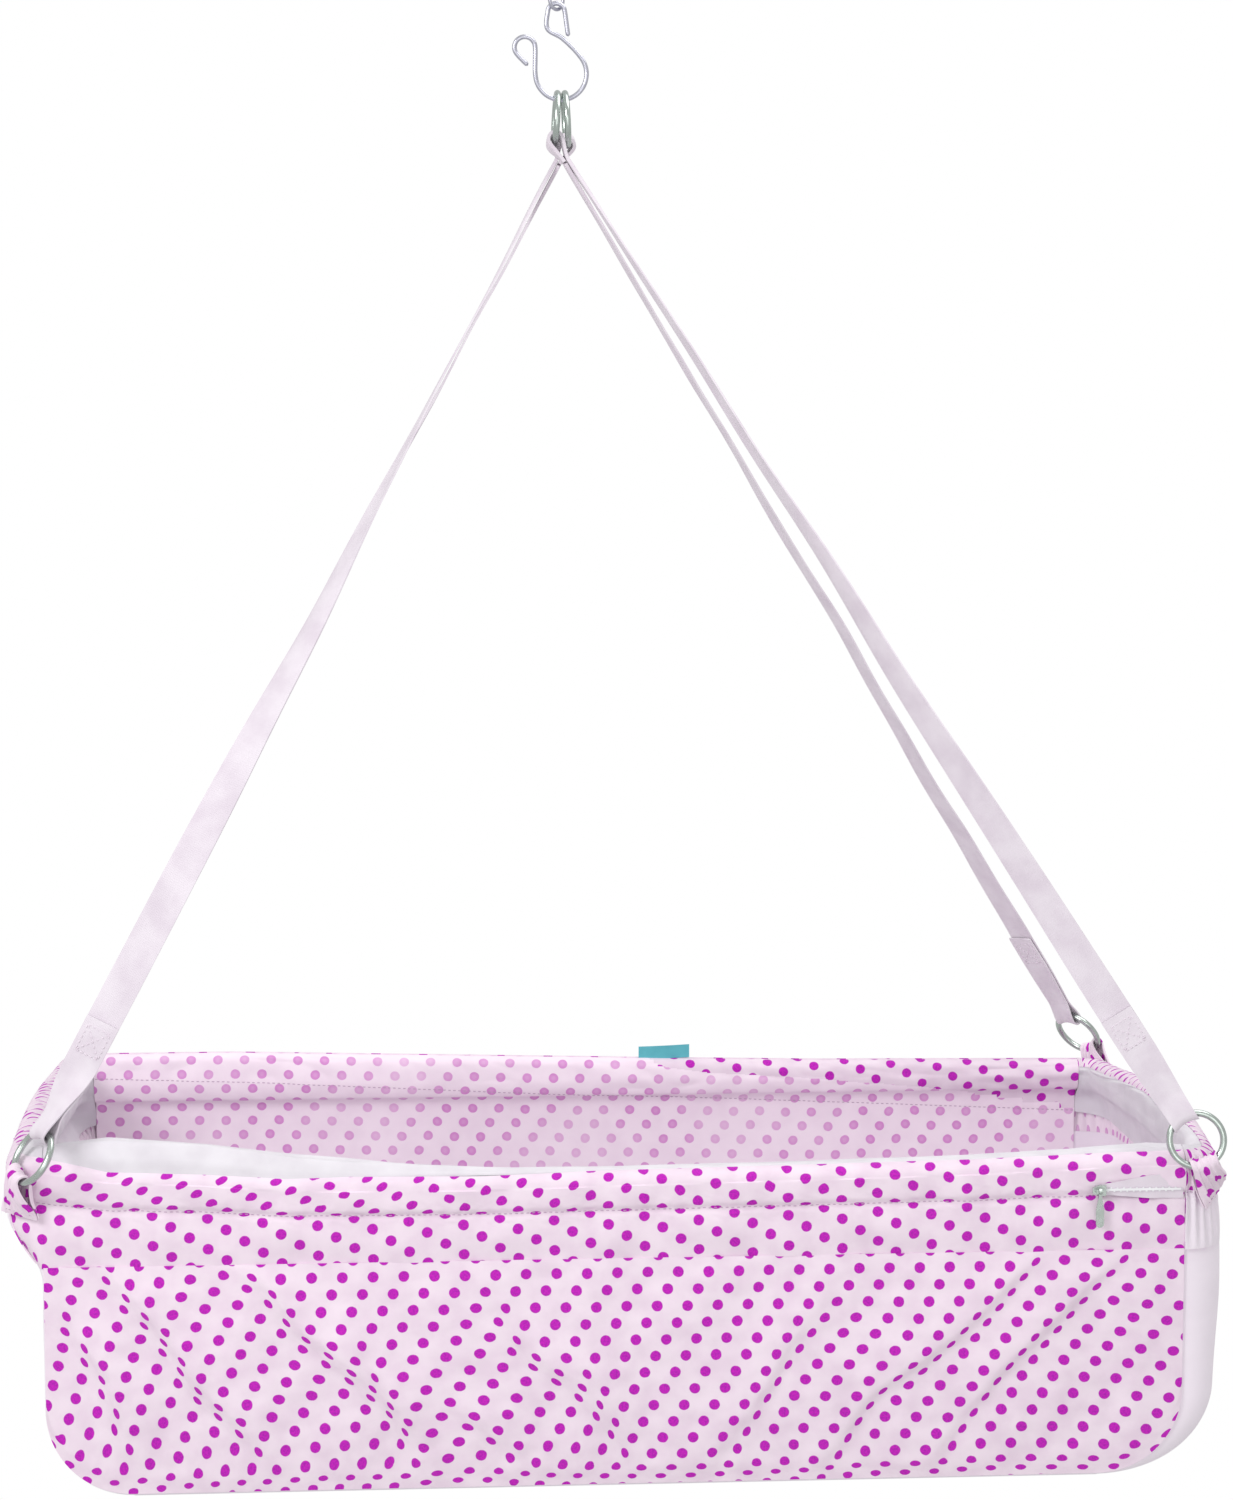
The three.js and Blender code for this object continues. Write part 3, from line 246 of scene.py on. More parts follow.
class Nodes:
    """A material's node tree with short ways to add and join nodes."""

    def __init__(self, name: str) -> None:
        """Start a material of this name with a Principled shader."""
        self.material = bpy.data.materials.new(name)
        self.material.use_nodes = True
        self.tree = self.material.node_tree
        self.shader = self.tree.nodes["Principled BSDF"]

    def add(self, kind: str, **settings: object) -> bpy.types.Node:
        """Add a node of a kind and set its properties."""
        node = self.tree.nodes.new(kind)
        for key, value in settings.items():
            setattr(node, key, value)
        return node

    def feed(self, socket: Socket, value: object) -> None:
        """Link an output to an input, or set the input to a number or a linear colour."""
        if isinstance(value, Socket):
            self.tree.links.new(value, socket)
        else:
            socket.default_value = (*value, 1.0) if isinstance(value, tuple) else value

    def plug(self, node: bpy.types.Node, **values: object) -> None:
        """Feed a node's inputs, named here with low lines for their spaces."""
        for key, value in values.items():
            self.feed(node.inputs[key.replace("_", " ")], value)

    def surface(self, **values: object) -> None:
        """Feed the shader's inputs."""
        self.plug(self.shader, **values)

    def math(self, operation: str, *values: object) -> Socket:
        """Add a Math node whose inputs are sockets or numbers, and return its output."""
        node = self.add("ShaderNodeMath", operation=operation)
        for socket, value in zip(node.inputs, values):
            self.feed(socket, value)
        return node.outputs[0]

    def weighed(self, first: Socket, one: float, second: Socket, two: float) -> Socket:
        """The sum of two values, each times its weight."""
        return self.math("ADD", self.math("MULTIPLY", first, one), self.math("MULTIPLY", second, two))

    def ramp(self, value: Socket, low: float, high: float, start: float, end: float) -> Socket:
        """Map a value smoothly from low..high to start..end, and return the output."""
        node = self.add("ShaderNodeMapRange", interpolation_type="SMOOTHSTEP")
        self.plug(node, Value=value, From_Min=low, From_Max=high, To_Min=start, To_Max=end)
        return node.outputs["Result"]

    def mix(self, share: object, first: object, second: object) -> Socket:
        """Mix two colours, each a socket or a linear colour, and return the output."""
        node = self.add("ShaderNodeMix", data_type="RGBA")
        for number, value in ((0, share), (6, first), (7, second)):
            self.feed(node.inputs[number], value)
        return node.outputs[2]

    def noise(self, vector: Socket, scale: float, detail: float = 2.0) -> Socket:
        """Add a noise texture on a vector and return its value."""
        node = self.add("ShaderNodeTexNoise")
        self.plug(node, Scale=scale, Detail=detail, Vector=vector)
        return node.outputs[0]

    def patches(self, vector: Socket, scale: float, detail: float, low: float, high: float,
                start: float = 0.0, end: float = 1.0) -> Socket:
        """Noise on a vector, mapped smoothly from low..high to start..end."""
        return self.ramp(self.noise(vector, scale, detail), low, high, start, end)

    def uv(self) -> Socket:
        """The piece's own cloth coordinates."""
        return self.add("ShaderNodeUVMap", uv_map="Cloth").outputs["UV"]

    def threadlines(self) -> tuple[Socket, Socket]:
        """The two cloth coordinates, each on its own."""
        split = self.add("ShaderNodeSeparateXYZ")
        self.feed(split.inputs[0], self.uv())
        return split.outputs[0], split.outputs[1]

    def place(self) -> Socket:
        """Object coordinates, which are the frame's."""
        return self.add("ShaderNodeTexCoord").outputs["Object"]

    def bump(self, height: Socket, distance: float) -> None:
        """Feed a height, 0 to 1, into the shader's normal, 1 standing for the distance in metres."""
        node = self.add("ShaderNodeBump")
        self.plug(node, Distance=distance, Strength=1.0, Height=height)
        self.surface(Normal=node.outputs["Normal"])

    def threads(self, weave: Weave) -> Socket:
        """Height of the woven threads, 0 to 1.

        The product of two sines that cross on the cloth coordinates. A tape's ribs add half of
        the sine across it.

        Args:
            weave: The weave, with its pitches.

        Returns:
            The height.
        """
        waves = [
            self.math("SINE", self.math("MULTIPLY", socket, FULL_TURN / pitch))
            for socket, pitch in zip(self.threadlines(), weave.value)
        ]
        product = self.math("MULTIPLY", *waves)
        if weave is Weave.TAPE:
            product = self.weighed(product, 0.5, waves[0], 0.5)
        return self.math("MULTIPLY_ADD", product, 0.5, 0.5)

    def woven(self, threads: Socket, relief: float, roughness: float, sheen: float) -> None:
        """Give a cloth its relief of threads and slubs, its roughness and its sheen."""
        slub = self.noise(self.uv(), 900.0, 1.0)
        self.bump(self.weighed(threads, 0.7, slub, 0.3), relief)
        self.surface(Roughness=roughness, Sheen_Weight=sheen, Sheen_Roughness=0.5)


@dataclass(frozen=True)
class PlainCloth:
    """A woven cloth of one colour, with slubs and a soft sheen."""

    name: str
    colour: Rgb
    shade: Rgb
    weave: Weave = Weave.PLAIN
    relief: float = 0.00012
    sheen: float = 0.25

    def build(self) -> Material:
        """Make the material: threads and slubs in the bump, slow blotches in the colour."""
        nodes = Nodes(self.name)
        threads = nodes.threads(self.weave)
        base = nodes.mix(nodes.patches(nodes.uv(), 38.0, 3.0, 0.3, 0.75), self.colour, self.shade)
        nodes.surface(Base_Color=nodes.mix(nodes.math("MULTIPLY", threads, 0.18), base, self.shade))
        nodes.woven(threads, self.relief, 0.92, self.sheen)
        return nodes.material


@dataclass(frozen=True)
class DottedCloth:
    """A pale cloth printed with round dots on an oblique lattice.

    The lattice is given by two steps, in metres of cloth. A point is written in these steps,
    each share is taken to the nearest whole number, and the distance to that lattice point
    decides whether it lies in a dot.
    """

    name: str
    face: Face
    step_one: Pair
    step_two: Pair
    radius: float = 0.0040
    blur: float = 0.0003
    ground: Rgb = srgb(243, 227, 239)
    ground_shade: Rgb = srgb(234, 214, 230)
    dot: Rgb = srgb(203, 14, 192)
    dot_shade: Rgb = srgb(168, 12, 172)

    def distance(self, nodes: Nodes) -> Socket:
        """Distance from the nearest lattice point, in metres, wobbled a little."""
        (ax, ay), (bx, by) = self.step_one, self.step_two
        area = ax * by - ay * bx
        u, v = nodes.threadlines()
        parts = []
        for along, across in ((by / area, -bx / area), (-ay / area, ax / area)):
            share = nodes.weighed(u, along, v, across)
            parts.append(nodes.math("SUBTRACT", share, nodes.math("ROUND", share)))
        offsets = [nodes.weighed(parts[0], a, parts[1], b) for a, b in ((ax, bx), (ay, by))]
        squares = [nodes.math("POWER", nodes.math("ABSOLUTE", offset), 2.0) for offset in offsets]
        wobble = nodes.math("MULTIPLY_ADD", nodes.noise(nodes.uv(), 260.0, 1.0), 2.0 * self.blur, -self.blur)
        return nodes.math("ADD", nodes.math("SQRT", nodes.math("ADD", *squares)), wobble)

    def build(self) -> Material:
        """Make the material, with full dots on the printed side and faint rings on the wrong one."""
        nodes = Nodes(self.name)
        uv = nodes.uv()
        distance = self.distance(nodes)
        inside = nodes.ramp(distance, self.radius - self.blur, self.radius + self.blur, 1.0, 0.0)
        ground = nodes.mix(nodes.patches(uv, 45.0, 3.0, 0.3, 0.75), self.ground, self.ground_shade)
        if self.face is Face.PRINTED:
            ink = nodes.mix(nodes.patches(uv, 700.0, 2.0, 0.35, 0.7), self.dot, self.dot_shade)
            colour = nodes.mix(inside, ground, ink)
        else:
            core = nodes.ramp(distance, self.radius * 0.2, self.radius * 0.7, 0.86, 1.0)
            share = nodes.math("MULTIPLY", nodes.math("MULTIPLY", inside, core), 0.66)
            patch = nodes.patches(uv, 9.0, 2.0, 0.35, 0.65, 0.6, 1.0)
            colour = nodes.mix(nodes.math("MULTIPLY", share, patch), ground, self.dot)
        threads = nodes.threads(Weave.PLAIN)
        colour = nodes.mix(nodes.math("MULTIPLY", threads, 0.04), colour, self.ground_shade)
        nodes.surface(Base_Color=colour, Specular_IOR_Level=0.25)
        nodes.woven(threads, 0.00012, 0.9, 0.05)
        return nodes.material


@dataclass(frozen=True)
class Metal:
    """A drawn or plated wire with fine scratches and duller patches."""

    name: str
    colour: Rgb
    roughness: float = 0.24

    def build(self) -> Material:
        """Make the material: noise in the roughness, fine scratches in the bump."""
        nodes = Nodes(self.name)
        patch = nodes.noise(nodes.place(), 160.0, 4.0)
        dull = tuple(c * 0.7 for c in self.colour)
        nodes.surface(
            Base_Color=nodes.mix(nodes.ramp(patch, 0.35, 0.7, 0.0, 0.5), self.colour, dull),
            Roughness=nodes.ramp(patch, 0.3, 0.75, self.roughness * 0.75, self.roughness * 1.5),
            Metallic=1.0,
        )
        nodes.bump(nodes.noise(nodes.place(), 2600.0, 2.0), 0.00002)
        return nodes.material


@dataclass(frozen=True)
class Moulding:
    """A moulded, painted or pressed material with a fine grain."""

    name: str
    colour: Rgb
    roughness: float = 0.5
    grain: float = 900.0
    relief: float = 0.00004

    def build(self) -> Material:
        """Make the material: a faint tone change and a fine grain in the bump."""
        nodes = Nodes(self.name)
        tone = nodes.patches(nodes.place(), 60.0, 3.0, 0.3, 0.7, 0.0, 0.35)
        shade = tuple(c * 0.8 for c in self.colour)
        nodes.surface(Base_Color=nodes.mix(tone, self.colour, shade), Roughness=self.roughness)
        nodes.bump(nodes.noise(nodes.place(), self.grain, 2.0), self.relief)
        return nodes.material


class Finishes:
    """Every material of the cradle, made once."""

    def __init__(self) -> None:
        """Build the materials."""
        band = ((0.0262, 0.0053), (0.0133, -0.0085))
        panel = ((0.0222, 0.0), (0.0078, 0.0123))
        # The wrong side's ground is lighter than the printed side's: partly the cloth's own paler back,
        # partly painted light that brightens the shaded inner faces where it shows.
        paler_ground_and_painted_light = {"ground": srgb(255, 240, 251), "ground_shade": srgb(250, 233, 246)}
        self.band = DottedCloth("dotted_band", Face.PRINTED, *band).build()
        self.panel = DottedCloth("dotted_panel", Face.PRINTED, *panel).build()
        self.wrong = DottedCloth("dotted_wrong_side", Face.WRONG, *panel, **paler_ground_and_painted_light).build()
        self.white = PlainCloth("white_lining", srgb(230, 226, 232), srgb(219, 214, 221)).build()
        self.plain = PlainCloth("plain_cloth", srgb(248, 238, 248), srgb(243, 233, 243)).build()
        ribs = Weave.TAPE
        self.webbing = PlainCloth("webbing", srgb(230, 222, 230), srgb(217, 206, 217), ribs, 0.00022).build()
        self.thread = PlainCloth("sewing_thread", srgb(238, 227, 237), srgb(224, 211, 223)).build()
        self.mauve_thread = PlainCloth("mauve_thread", srgb(206, 178, 203), srgb(186, 156, 184)).build()
        self.teal = PlainCloth("teal_label", srgb(104, 196, 206), srgb(88, 180, 192)).build()
        self.tape = PlainCloth("zip_tape_cloth", srgb(229, 219, 229), srgb(219, 208, 219), ribs).build()
        self.teeth = Moulding("zip_teeth_plastic", srgb(243, 243, 246), 0.4).build()
        self.steel = Metal("hook_wire", srgb(206, 206, 218), 0.3).build()
        self.nickel = Metal("ring_plating", srgb(196, 206, 200)).build()
        self.tube = Moulding("rail_coating", srgb(120, 122, 124), 0.4).build()
        self.elbow = Moulding("elbow_plastic", srgb(214, 214, 208)).build()
        self.board = Moulding("hardboard", srgb(150, 128, 100), 0.8, 420.0, 0.0002).build()


class MeshMaker:
    """Turns numpy grids into meshes that ride on a body."""

    SHARP_ANGLE = 50.0
    STITCH_SIDES = 6
    STITCH_LENGTH = 0.0026

    @staticmethod
    def quads(rows: int, columns: int, flip: bool = False, wrap: tuple[bool, bool] = (False, False)) -> Array:
        """Corner numbers of a grid's quads.

        Args:
            rows: Number of grid rows.
            columns: Number of grid columns.
            flip: Whether the faces are turned over.
            wrap: Whether rows and columns close on themselves.

        Returns:
            An array of four vertex numbers for each quad.
        """
        i = np.arange(rows if wrap[0] else rows - 1)[:, None]
        j = np.arange(columns if wrap[1] else columns - 1)[None, :]
        i_next, j_next = (i + 1) % rows, (j + 1) % columns
        corners = [i * columns + j, i_next * columns + j, i_next * columns + j_next, i * columns + j_next]
        faces = np.stack([np.broadcast_to(c, (i.size, j.size)) for c in corners], axis=-1).reshape(-1, 4)
        return faces[:, ::-1] if flip else faces

    @classmethod
    def tube(cls, rows: int, columns: int, flip: bool = False) -> list[Array]:
        """Faces of a tube closed by a fan at each end, whose poles follow its points.

        Args:
            rows: Number of sections.
            columns: Number of sides.
            flip: Whether the faces are turned over.

        Returns:
            Arrays of quads and triangles.
        """
        here = np.arange(columns)
        after = np.roll(here, -1)
        last, pole = (rows - 1) * columns, np.full(columns, rows * columns)
        fans = ((pole, here, after), (pole + 1, last + after, last + here))
        turned = (np.stack(fan[::-1] if flip else fan, axis=-1) for fan in fans)
        return [cls.quads(rows, columns, flip, (False, True)), *turned]

    @classmethod
    def write(cls, name: str, points: Array, faces: list[Array], uv: Array, materials: list[Material],
              indices: Array | None = None) -> Piece:
        """Put vertices and faces into a mesh object at the origin.

        Args:
            name: The object's name.
            points: Vertices, one row each.
            faces: Arrays of quads or triangles.
            uv: Cloth coordinates of each vertex.
            materials: The materials.
            indices: Material number of each face.

        Returns:
            The object, linked to the scene.
        """
        mesh = bpy.data.meshes.new(name)
        loops = np.concatenate([f.reshape(-1) for f in faces]).astype(np.int32)
        sizes = np.concatenate([np.full(len(f), f.shape[1]) for f in faces])
        starts = np.concatenate([[0], np.cumsum(sizes)[:-1]]).astype(np.int32)
        mesh.vertices.add(len(points))
        mesh.vertices.foreach_set("co", np.ascontiguousarray(points, np.float32).reshape(-1))
        mesh.loops.add(len(loops))
        mesh.loops.foreach_set("vertex_index", loops)
        mesh.polygons.add(len(starts))
        mesh.polygons.foreach_set("loop_start", starts)
        if indices is not None:
            mesh.polygons.foreach_set("material_index", indices.astype(np.int32))
        mesh.update(calc_edges=True)
        layer = mesh.uv_layers.new(name="Cloth")
        layer.data.foreach_set("uv", np.ascontiguousarray(uv[loops], np.float32).reshape(-1))
        for material in materials:
            mesh.materials.append(material)
        mesh.shade_smooth()
        mesh.set_sharp_from_angle(angle=math.radians(cls.SHARP_ANGLE))
        mesh.validate()
        made = bpy.data.objects.new(name, mesh)
        bpy.context.scene.collection.objects.link(made)
        LOG.info("%s: %d vertices, %d faces", name, len(points), len(starts))
        return made

    @staticmethod
    def settle(made: Piece, body: str, slot: str, node: str = "") -> None:
        """Let a piece ride on a body, and hide the CAD node that it stands for.

        Args:
            made: The piece.
            body: The body.
            slot: A slot name; not used.
            node: The CAD node, if it stands for one.
        """
        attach(made, body)
        if node:
            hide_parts(node)

    @classmethod
    def layers(cls, name: str, outer: Array, inner: Array, uv: Array, materials: list[Material]) -> Piece:
        """A closed sheet: two grids back to back and a rim of quads between their edges.

        Args:
            name: The object's name.
            outer: Grid of the face, whose normals point out of it.
            inner: Grid of the back.
            uv: Cloth coordinates of each grid point.
            materials: The face's material and, if it differs, the back's.

        Returns:
            The object.
        """
        rows, columns = outer.shape[:2]
        count = rows * columns
        grid = np.arange(count).reshape(rows, columns)
        edge = np.concatenate([grid[:, 0], grid[-1, 1:], grid[-2::-1, -1], grid[0, -2:0:-1]])
        after = np.roll(edge, -1)
        front, back = cls.quads(rows, columns), cls.quads(rows, columns, True) + count
        rim = np.stack([edge, edge + count, after + count, after], axis=-1)
        indices = np.repeat([0, len(materials) - 1, 0], [len(front), len(back), len(rim)])
        points = np.concatenate([outer.reshape(-1, 3), inner.reshape(-1, 3)])
        flat_uv = np.concatenate([uv.reshape(-1, 2)] * 2)
        return cls.write(name, points, [front, back, rim], flat_uv, materials, indices)

    @classmethod
    def cloth(cls, name: str, grid: Array, thickness: float, uv: Array, materials: list[Material], slot: str,
              flat: Pair, node: str = "") -> Piece:
        """Make a stretched sheet of cloth, whose back lies behind its face by the thickness.

        Args:
            name: The piece's name: its node's with an ending.
            grid: Grid of points whose normals point out of the cloth's face.
            thickness: Cloth thickness.
            uv: Cloth coordinates of each grid point.
            materials: The face's material and, if it differs, the back's.
            slot: A slot name; not used.
            flat: Its flat width and length; not used.
            node: The CAD node it stands for, where its name isn't the piece's.

        Returns:
            The object.
        """
        made = cls.layers(name, grid, grid - normals(grid) * thickness, uv, materials)
        cls.settle(made, "cradle", slot, node or name.removesuffix("_cloth"))
        return made

    @staticmethod
    def paint(made: Piece, chosen: Array, material: Material) -> None:
        """Give a second material to a part of a sheet's face.

        Args:
            made: The sheet.
            chosen: At each grid point, whether the quad that starts there is painted.
            material: The material.
        """
        index = np.zeros(len(made.data.polygons), np.int32)
        made.data.polygons.foreach_get("material_index", index)
        first = (chosen.shape[0] - 1) * (chosen.shape[1] - 1)
        index[:first][chosen[:-1, :-1].reshape(-1)] = len(made.data.materials)
        made.data.materials.append(material)
        made.data.polygons.foreach_set("material_index", index)

    @classmethod
    def bar(cls, name: str, path: Array, radius: Array, normal: Array, material: Material, sides: int,
            closed: bool = True) -> Piece:
        """A round bar carried along a flat path.

        Each section is a circle about the path point, spanned by the path's plane normal and
        the cross product of that normal with the tangent. Open ends close on a pole.

        Args:
            name: The object's name.
            path: Points of the path.
            radius: Bar radius, one or one at each point.
            normal: Normal of the path's plane.
            material: The material.
            sides: Number of sides.
            closed: Whether the path closes on itself.

        Returns:
            The object.
        """
        count = len(path)
        radius = np.broadcast_to(radius, count)
        steps = np.roll(path, -1, axis=0) - np.roll(path, 1, axis=0) if closed else np.gradient(path, axis=0)
        tangents = unit(steps)
        across = unit(np.cross(normal[None, :], tangents))[:, None, :]
        angles = np.linspace(0.0, FULL_TURN, sides, endpoint=False)
        circle = normal * np.cos(angles)[None, :, None] + across * np.sin(angles)[None, :, None]
        points = (path[:, None, :] + circle * radius[:, None, None]).reshape(-1, 3)
        run = np.broadcast_to(lengths(path[:, None, :], 0), (count, sides))
        uv = np.stack([angles * radius[:, None], run], axis=-1).reshape(-1, 2)
        if closed:
            return cls.write(name, points, [cls.quads(count, sides, wrap=(True, True))], uv, [material])
        tips = path[[0, -1]] + tangents[[0, -1]] * np.array([[-1.0], [1.0]]) * radius[[0, -1], None] * 0.5
        points, uv = np.concatenate([points, tips]), np.concatenate([uv, [[0.0, 0.0], [0.0, run[-1, 0]]]])
        return cls.write(name, points, cls.tube(count, sides), uv, [material])

    @classmethod
    def stitches(cls, name: str, places: Array, directions: Array, outward: Array, material: Material,
                 slot: str, radius: float = 0.00032) -> None:
        """Sew short rounded stitches, each a six-sided lozenge of four rings, onto the cradle.

        Args:
            name: The object's name.
            places: Middle of each stitch.
            directions: Direction of each stitch.
            outward: Direction out of the cloth at each stitch.
            material: Thread material.
            slot: A slot name; not used.
            radius: Thread radius.
        """
        sides, rings = cls.STITCH_SIDES, 4
        run, out = unit(directions), unit(outward)
        side = unit(np.cross(run, out))
        angles = np.linspace(0.0, FULL_TURN, sides, endpoint=False)
        stations = np.array([-0.5, -0.28, 0.28, 0.5]) * cls.STITCH_LENGTH
        sizes = np.array([0.25, 1.0, 1.0, 0.25]) * radius
        lift = np.array([-0.8, 0.5, 0.5, -0.8]) * radius
        around = side[:, None, :] * np.cos(angles)[:, None] + out[:, None, :] * np.sin(angles)[:, None]
        centre = places[:, None, :] + run[:, None, :] * stations[:, None] + out[:, None, :] * lift[:, None]
        points = centre[:, :, None, :] + around[:, None, :, :] * sizes[:, None, None]
        caps = np.stack([np.arange(sides), (rings * sides - 1 - np.arange(sides))])
        offsets = (np.arange(len(places)) * rings * sides)[:, None, None]
        one = cls.quads(rings, sides, wrap=(False, True))
        faces = [(one[None] + offsets).reshape(-1, 4), (caps[None] + offsets).reshape(-1, sides)]
        uv = np.stack(np.broadcast_arrays(angles * radius, stations[:, None]), axis=-1).reshape(-1, 2)
        uv = np.tile(uv, (len(places), 1))
        cls.settle(cls.write(name, points.reshape(-1, 3), faces, uv, [material]), "cradle", slot)


@dataclass(frozen=True)
class Outline:
    """A stretch of the rim in plan, from left to right or from front to rear.

    The step, 1 or -1, is the order in which a grid on it keeps its columns, so that the cloth's
    face looks the right way.
    """

    plan: Array
    outward: Array
    run: Array
    step: int
    is_end: bool

    @property
    def x(self) -> Array:
        """Places along the basket, from its middle."""
        return self.plan[:, 0] - BASKET_X

    def part(self, stretch: slice) -> "Outline":
        """The same outline on a slice of its stations."""
        return Outline(self.plan[stretch], self.outward[stretch], self.run[stretch], self.step, self.is_end)


@dataclass(frozen=True)
class Rim:
    """Where the rim runs in plan and how far its cloth stands above the rail.

    The lifts are heights of the cloth's crown over the rail, read off the photograph at places
    along the basket. The left end's slack is drawn in below its tabs, and the right end's belly
    swells below the rail.
    """

    top: float = -0.8795
    front_lift: Knots = (
        (-0.42, 0.017), (-0.37, 0.008), (-0.30, 0.0045), (-0.235, -0.001), (-0.1, -0.002), (0.0, 0.0),
        (0.14, 0.002), (0.26, 0.004), (0.37, 0.008), (0.42, 0.009),
    )
    rear_lift: Knots = (
        (-0.42, 0.017), (-0.30, 0.017), (-0.15, 0.013), (0.04, 0.008), (0.19, 0.0045), (0.42, 0.002),
    )
    left_crown: float = 0.006
    right_crown: float = 0.009
    end_stations: int = 420
    side_stations: int = 260
    seam_gap: float = 0.0003
    drawn_share: float = 0.92
    drawn_most: float = 0.034
    drawn_from: float = 0.026
    drawn_span: float = 0.052
    belly_share: float = 0.16
    belly_from: float = 0.020
    belly_span: float = 0.045
    belly_to: float = 0.095
    belly_fade: float = 0.07

    def end_outline(self, x_sign: int, count: int = 0) -> Outline:
        """Plan of one end from its front seam to its rear seam.

        A corner arc, the bowed end arc and the other corner arc, met at their tangents and
        sampled at an even pitch.

        Args:
            x_sign: -1 for the left end, 1 for the right.
            count: Number of stations, if not the rim's own.

        Returns:
            The outline.
        """
        end_bow = LEFT_BOW if x_sign < 0 else RIGHT_BOW
        bow_reach = (CORNER_Y**2 - end_bow**2) / (2.0 * end_bow)
        half = math.atan2(CORNER_Y, bow_reach)
        radius = CORNER_RADIUS + end_bow + bow_reach
        corner = CORNER_RADIUS * (math.pi / 2.0 - half)
        bow = 2.0 * half * radius
        run = np.linspace(0.0, 2.0 * corner + bow, count or self.end_stations)
        first, last = run < corner, run > corner + bow
        stretches = [first, last]
        angle = np.select(
            stretches, [-math.pi / 2.0 + run / CORNER_RADIUS, half + (run - corner - bow) / CORNER_RADIUS],
            -half + (run - corner) / radius,
        )
        centre_x = np.where(first | last, SEAM_X, SEAM_X - bow_reach)
        centre_y = np.select(stretches, [-CORNER_Y, CORNER_Y], 0.0)
        reach = np.where(first | last, CORNER_RADIUS, radius)
        outward = np.stack([x_sign * np.cos(angle), np.sin(angle)], axis=-1)
        x = x_sign * (centre_x + reach * np.cos(angle)) + BASKET_X
        return Outline(np.stack([x, centre_y + reach * np.sin(angle)], axis=-1), outward, run, -x_sign, True)

    def side_outline(self, y_sign: int) -> Outline:
        """Plan of the front, -1, or the rear, 1."""
        x = np.linspace(-SEAM_X + self.seam_gap, SEAM_X - self.seam_gap, self.side_stations)
        plan = np.stack([x + BASKET_X, np.full(len(x), y_sign * FRONT_Y)], axis=-1)
        return Outline(plan, np.tile([[0.0, float(y_sign)]], (len(x), 1)), x + SEAM_X, y_sign, False)

    def round_corner(self, front: Outline, wrap: float) -> Outline:
        """Begin the front's outline a little way round its left corner."""
        end = self.end_outline(-1)
        corner = end.part(slice(int(np.argmax(end.run > wrap)) - 1, 0, -1))
        pairs = ((corner.plan, front.plan), (corner.outward, front.outward), (-corner.run, front.run))
        return Outline(*(np.concatenate(pair) for pair in pairs), front.step, False)

    def lift(self, outline: Outline) -> Array:
        """How far the cloth's crown stands above the rail.

        The front's lift blends into the rear's along the ends, which crown in their middle.

        Args:
            outline: The outline.

        Returns:
            The lift at each station.
        """
        x = outline.x
        share = smooth((outline.plan[:, 1] + FRONT_Y) / (2.0 * FRONT_Y))
        crown = np.where(x > 0.0, self.right_crown, self.left_crown)
        crown = crown * np.sin(math.pi * share) * smooth((np.abs(x) - 0.40) / 0.03)
        return lerp(through(x, self.front_lift), through(x, self.rear_lift), share) + crown

    def drawn_in(self, x: Array, depth: Array) -> Array:
        """Draw the left end's slack cloth in below its tabs, and let the right end's belly out.

        At the left what lies beyond the seam shrinks by a share that eases in on the way down.
        At the right it grows by a share that eases in under the rail and dies out below.

        Args:
            x: Place from the basket's middle.
            depth: Depth below the rail crown's level.

        Returns:
            The new place.
        """
        slack = np.minimum(np.clip(-x - SEAM_X, 0.0, None) * self.drawn_share, self.drawn_most)
        fade = bell(np.maximum(depth - self.belly_to, 0.0), self.belly_fade)
        belly = np.clip(x - SEAM_X, 0.0, None) * self.belly_share * fade
        return (
            x + slack * smooth((depth - self.drawn_from) / self.drawn_span)
            + belly * smooth((depth - self.belly_from) / self.belly_span)
        )

    def surface(self, outline: Outline, inset: Array, height: Array) -> Array:
        """Carry a section along an outline, whose line is drawn in at each height.

        Args:
            outline: The outline, one station for each column.
            inset: Distance in from it, rows by columns.
            height: Height above the rail crown's level, rows by columns.

        Returns:
            A grid of points.
        """
        x = self.drawn_in(outline.x[None, :], -height) + BASKET_X - outline.outward[None, :, 0] * inset
        y = outline.plan[None, :, 1] - outline.outward[None, :, 1] * inset
        return np.stack([x, y, self.top + height], axis=-1)


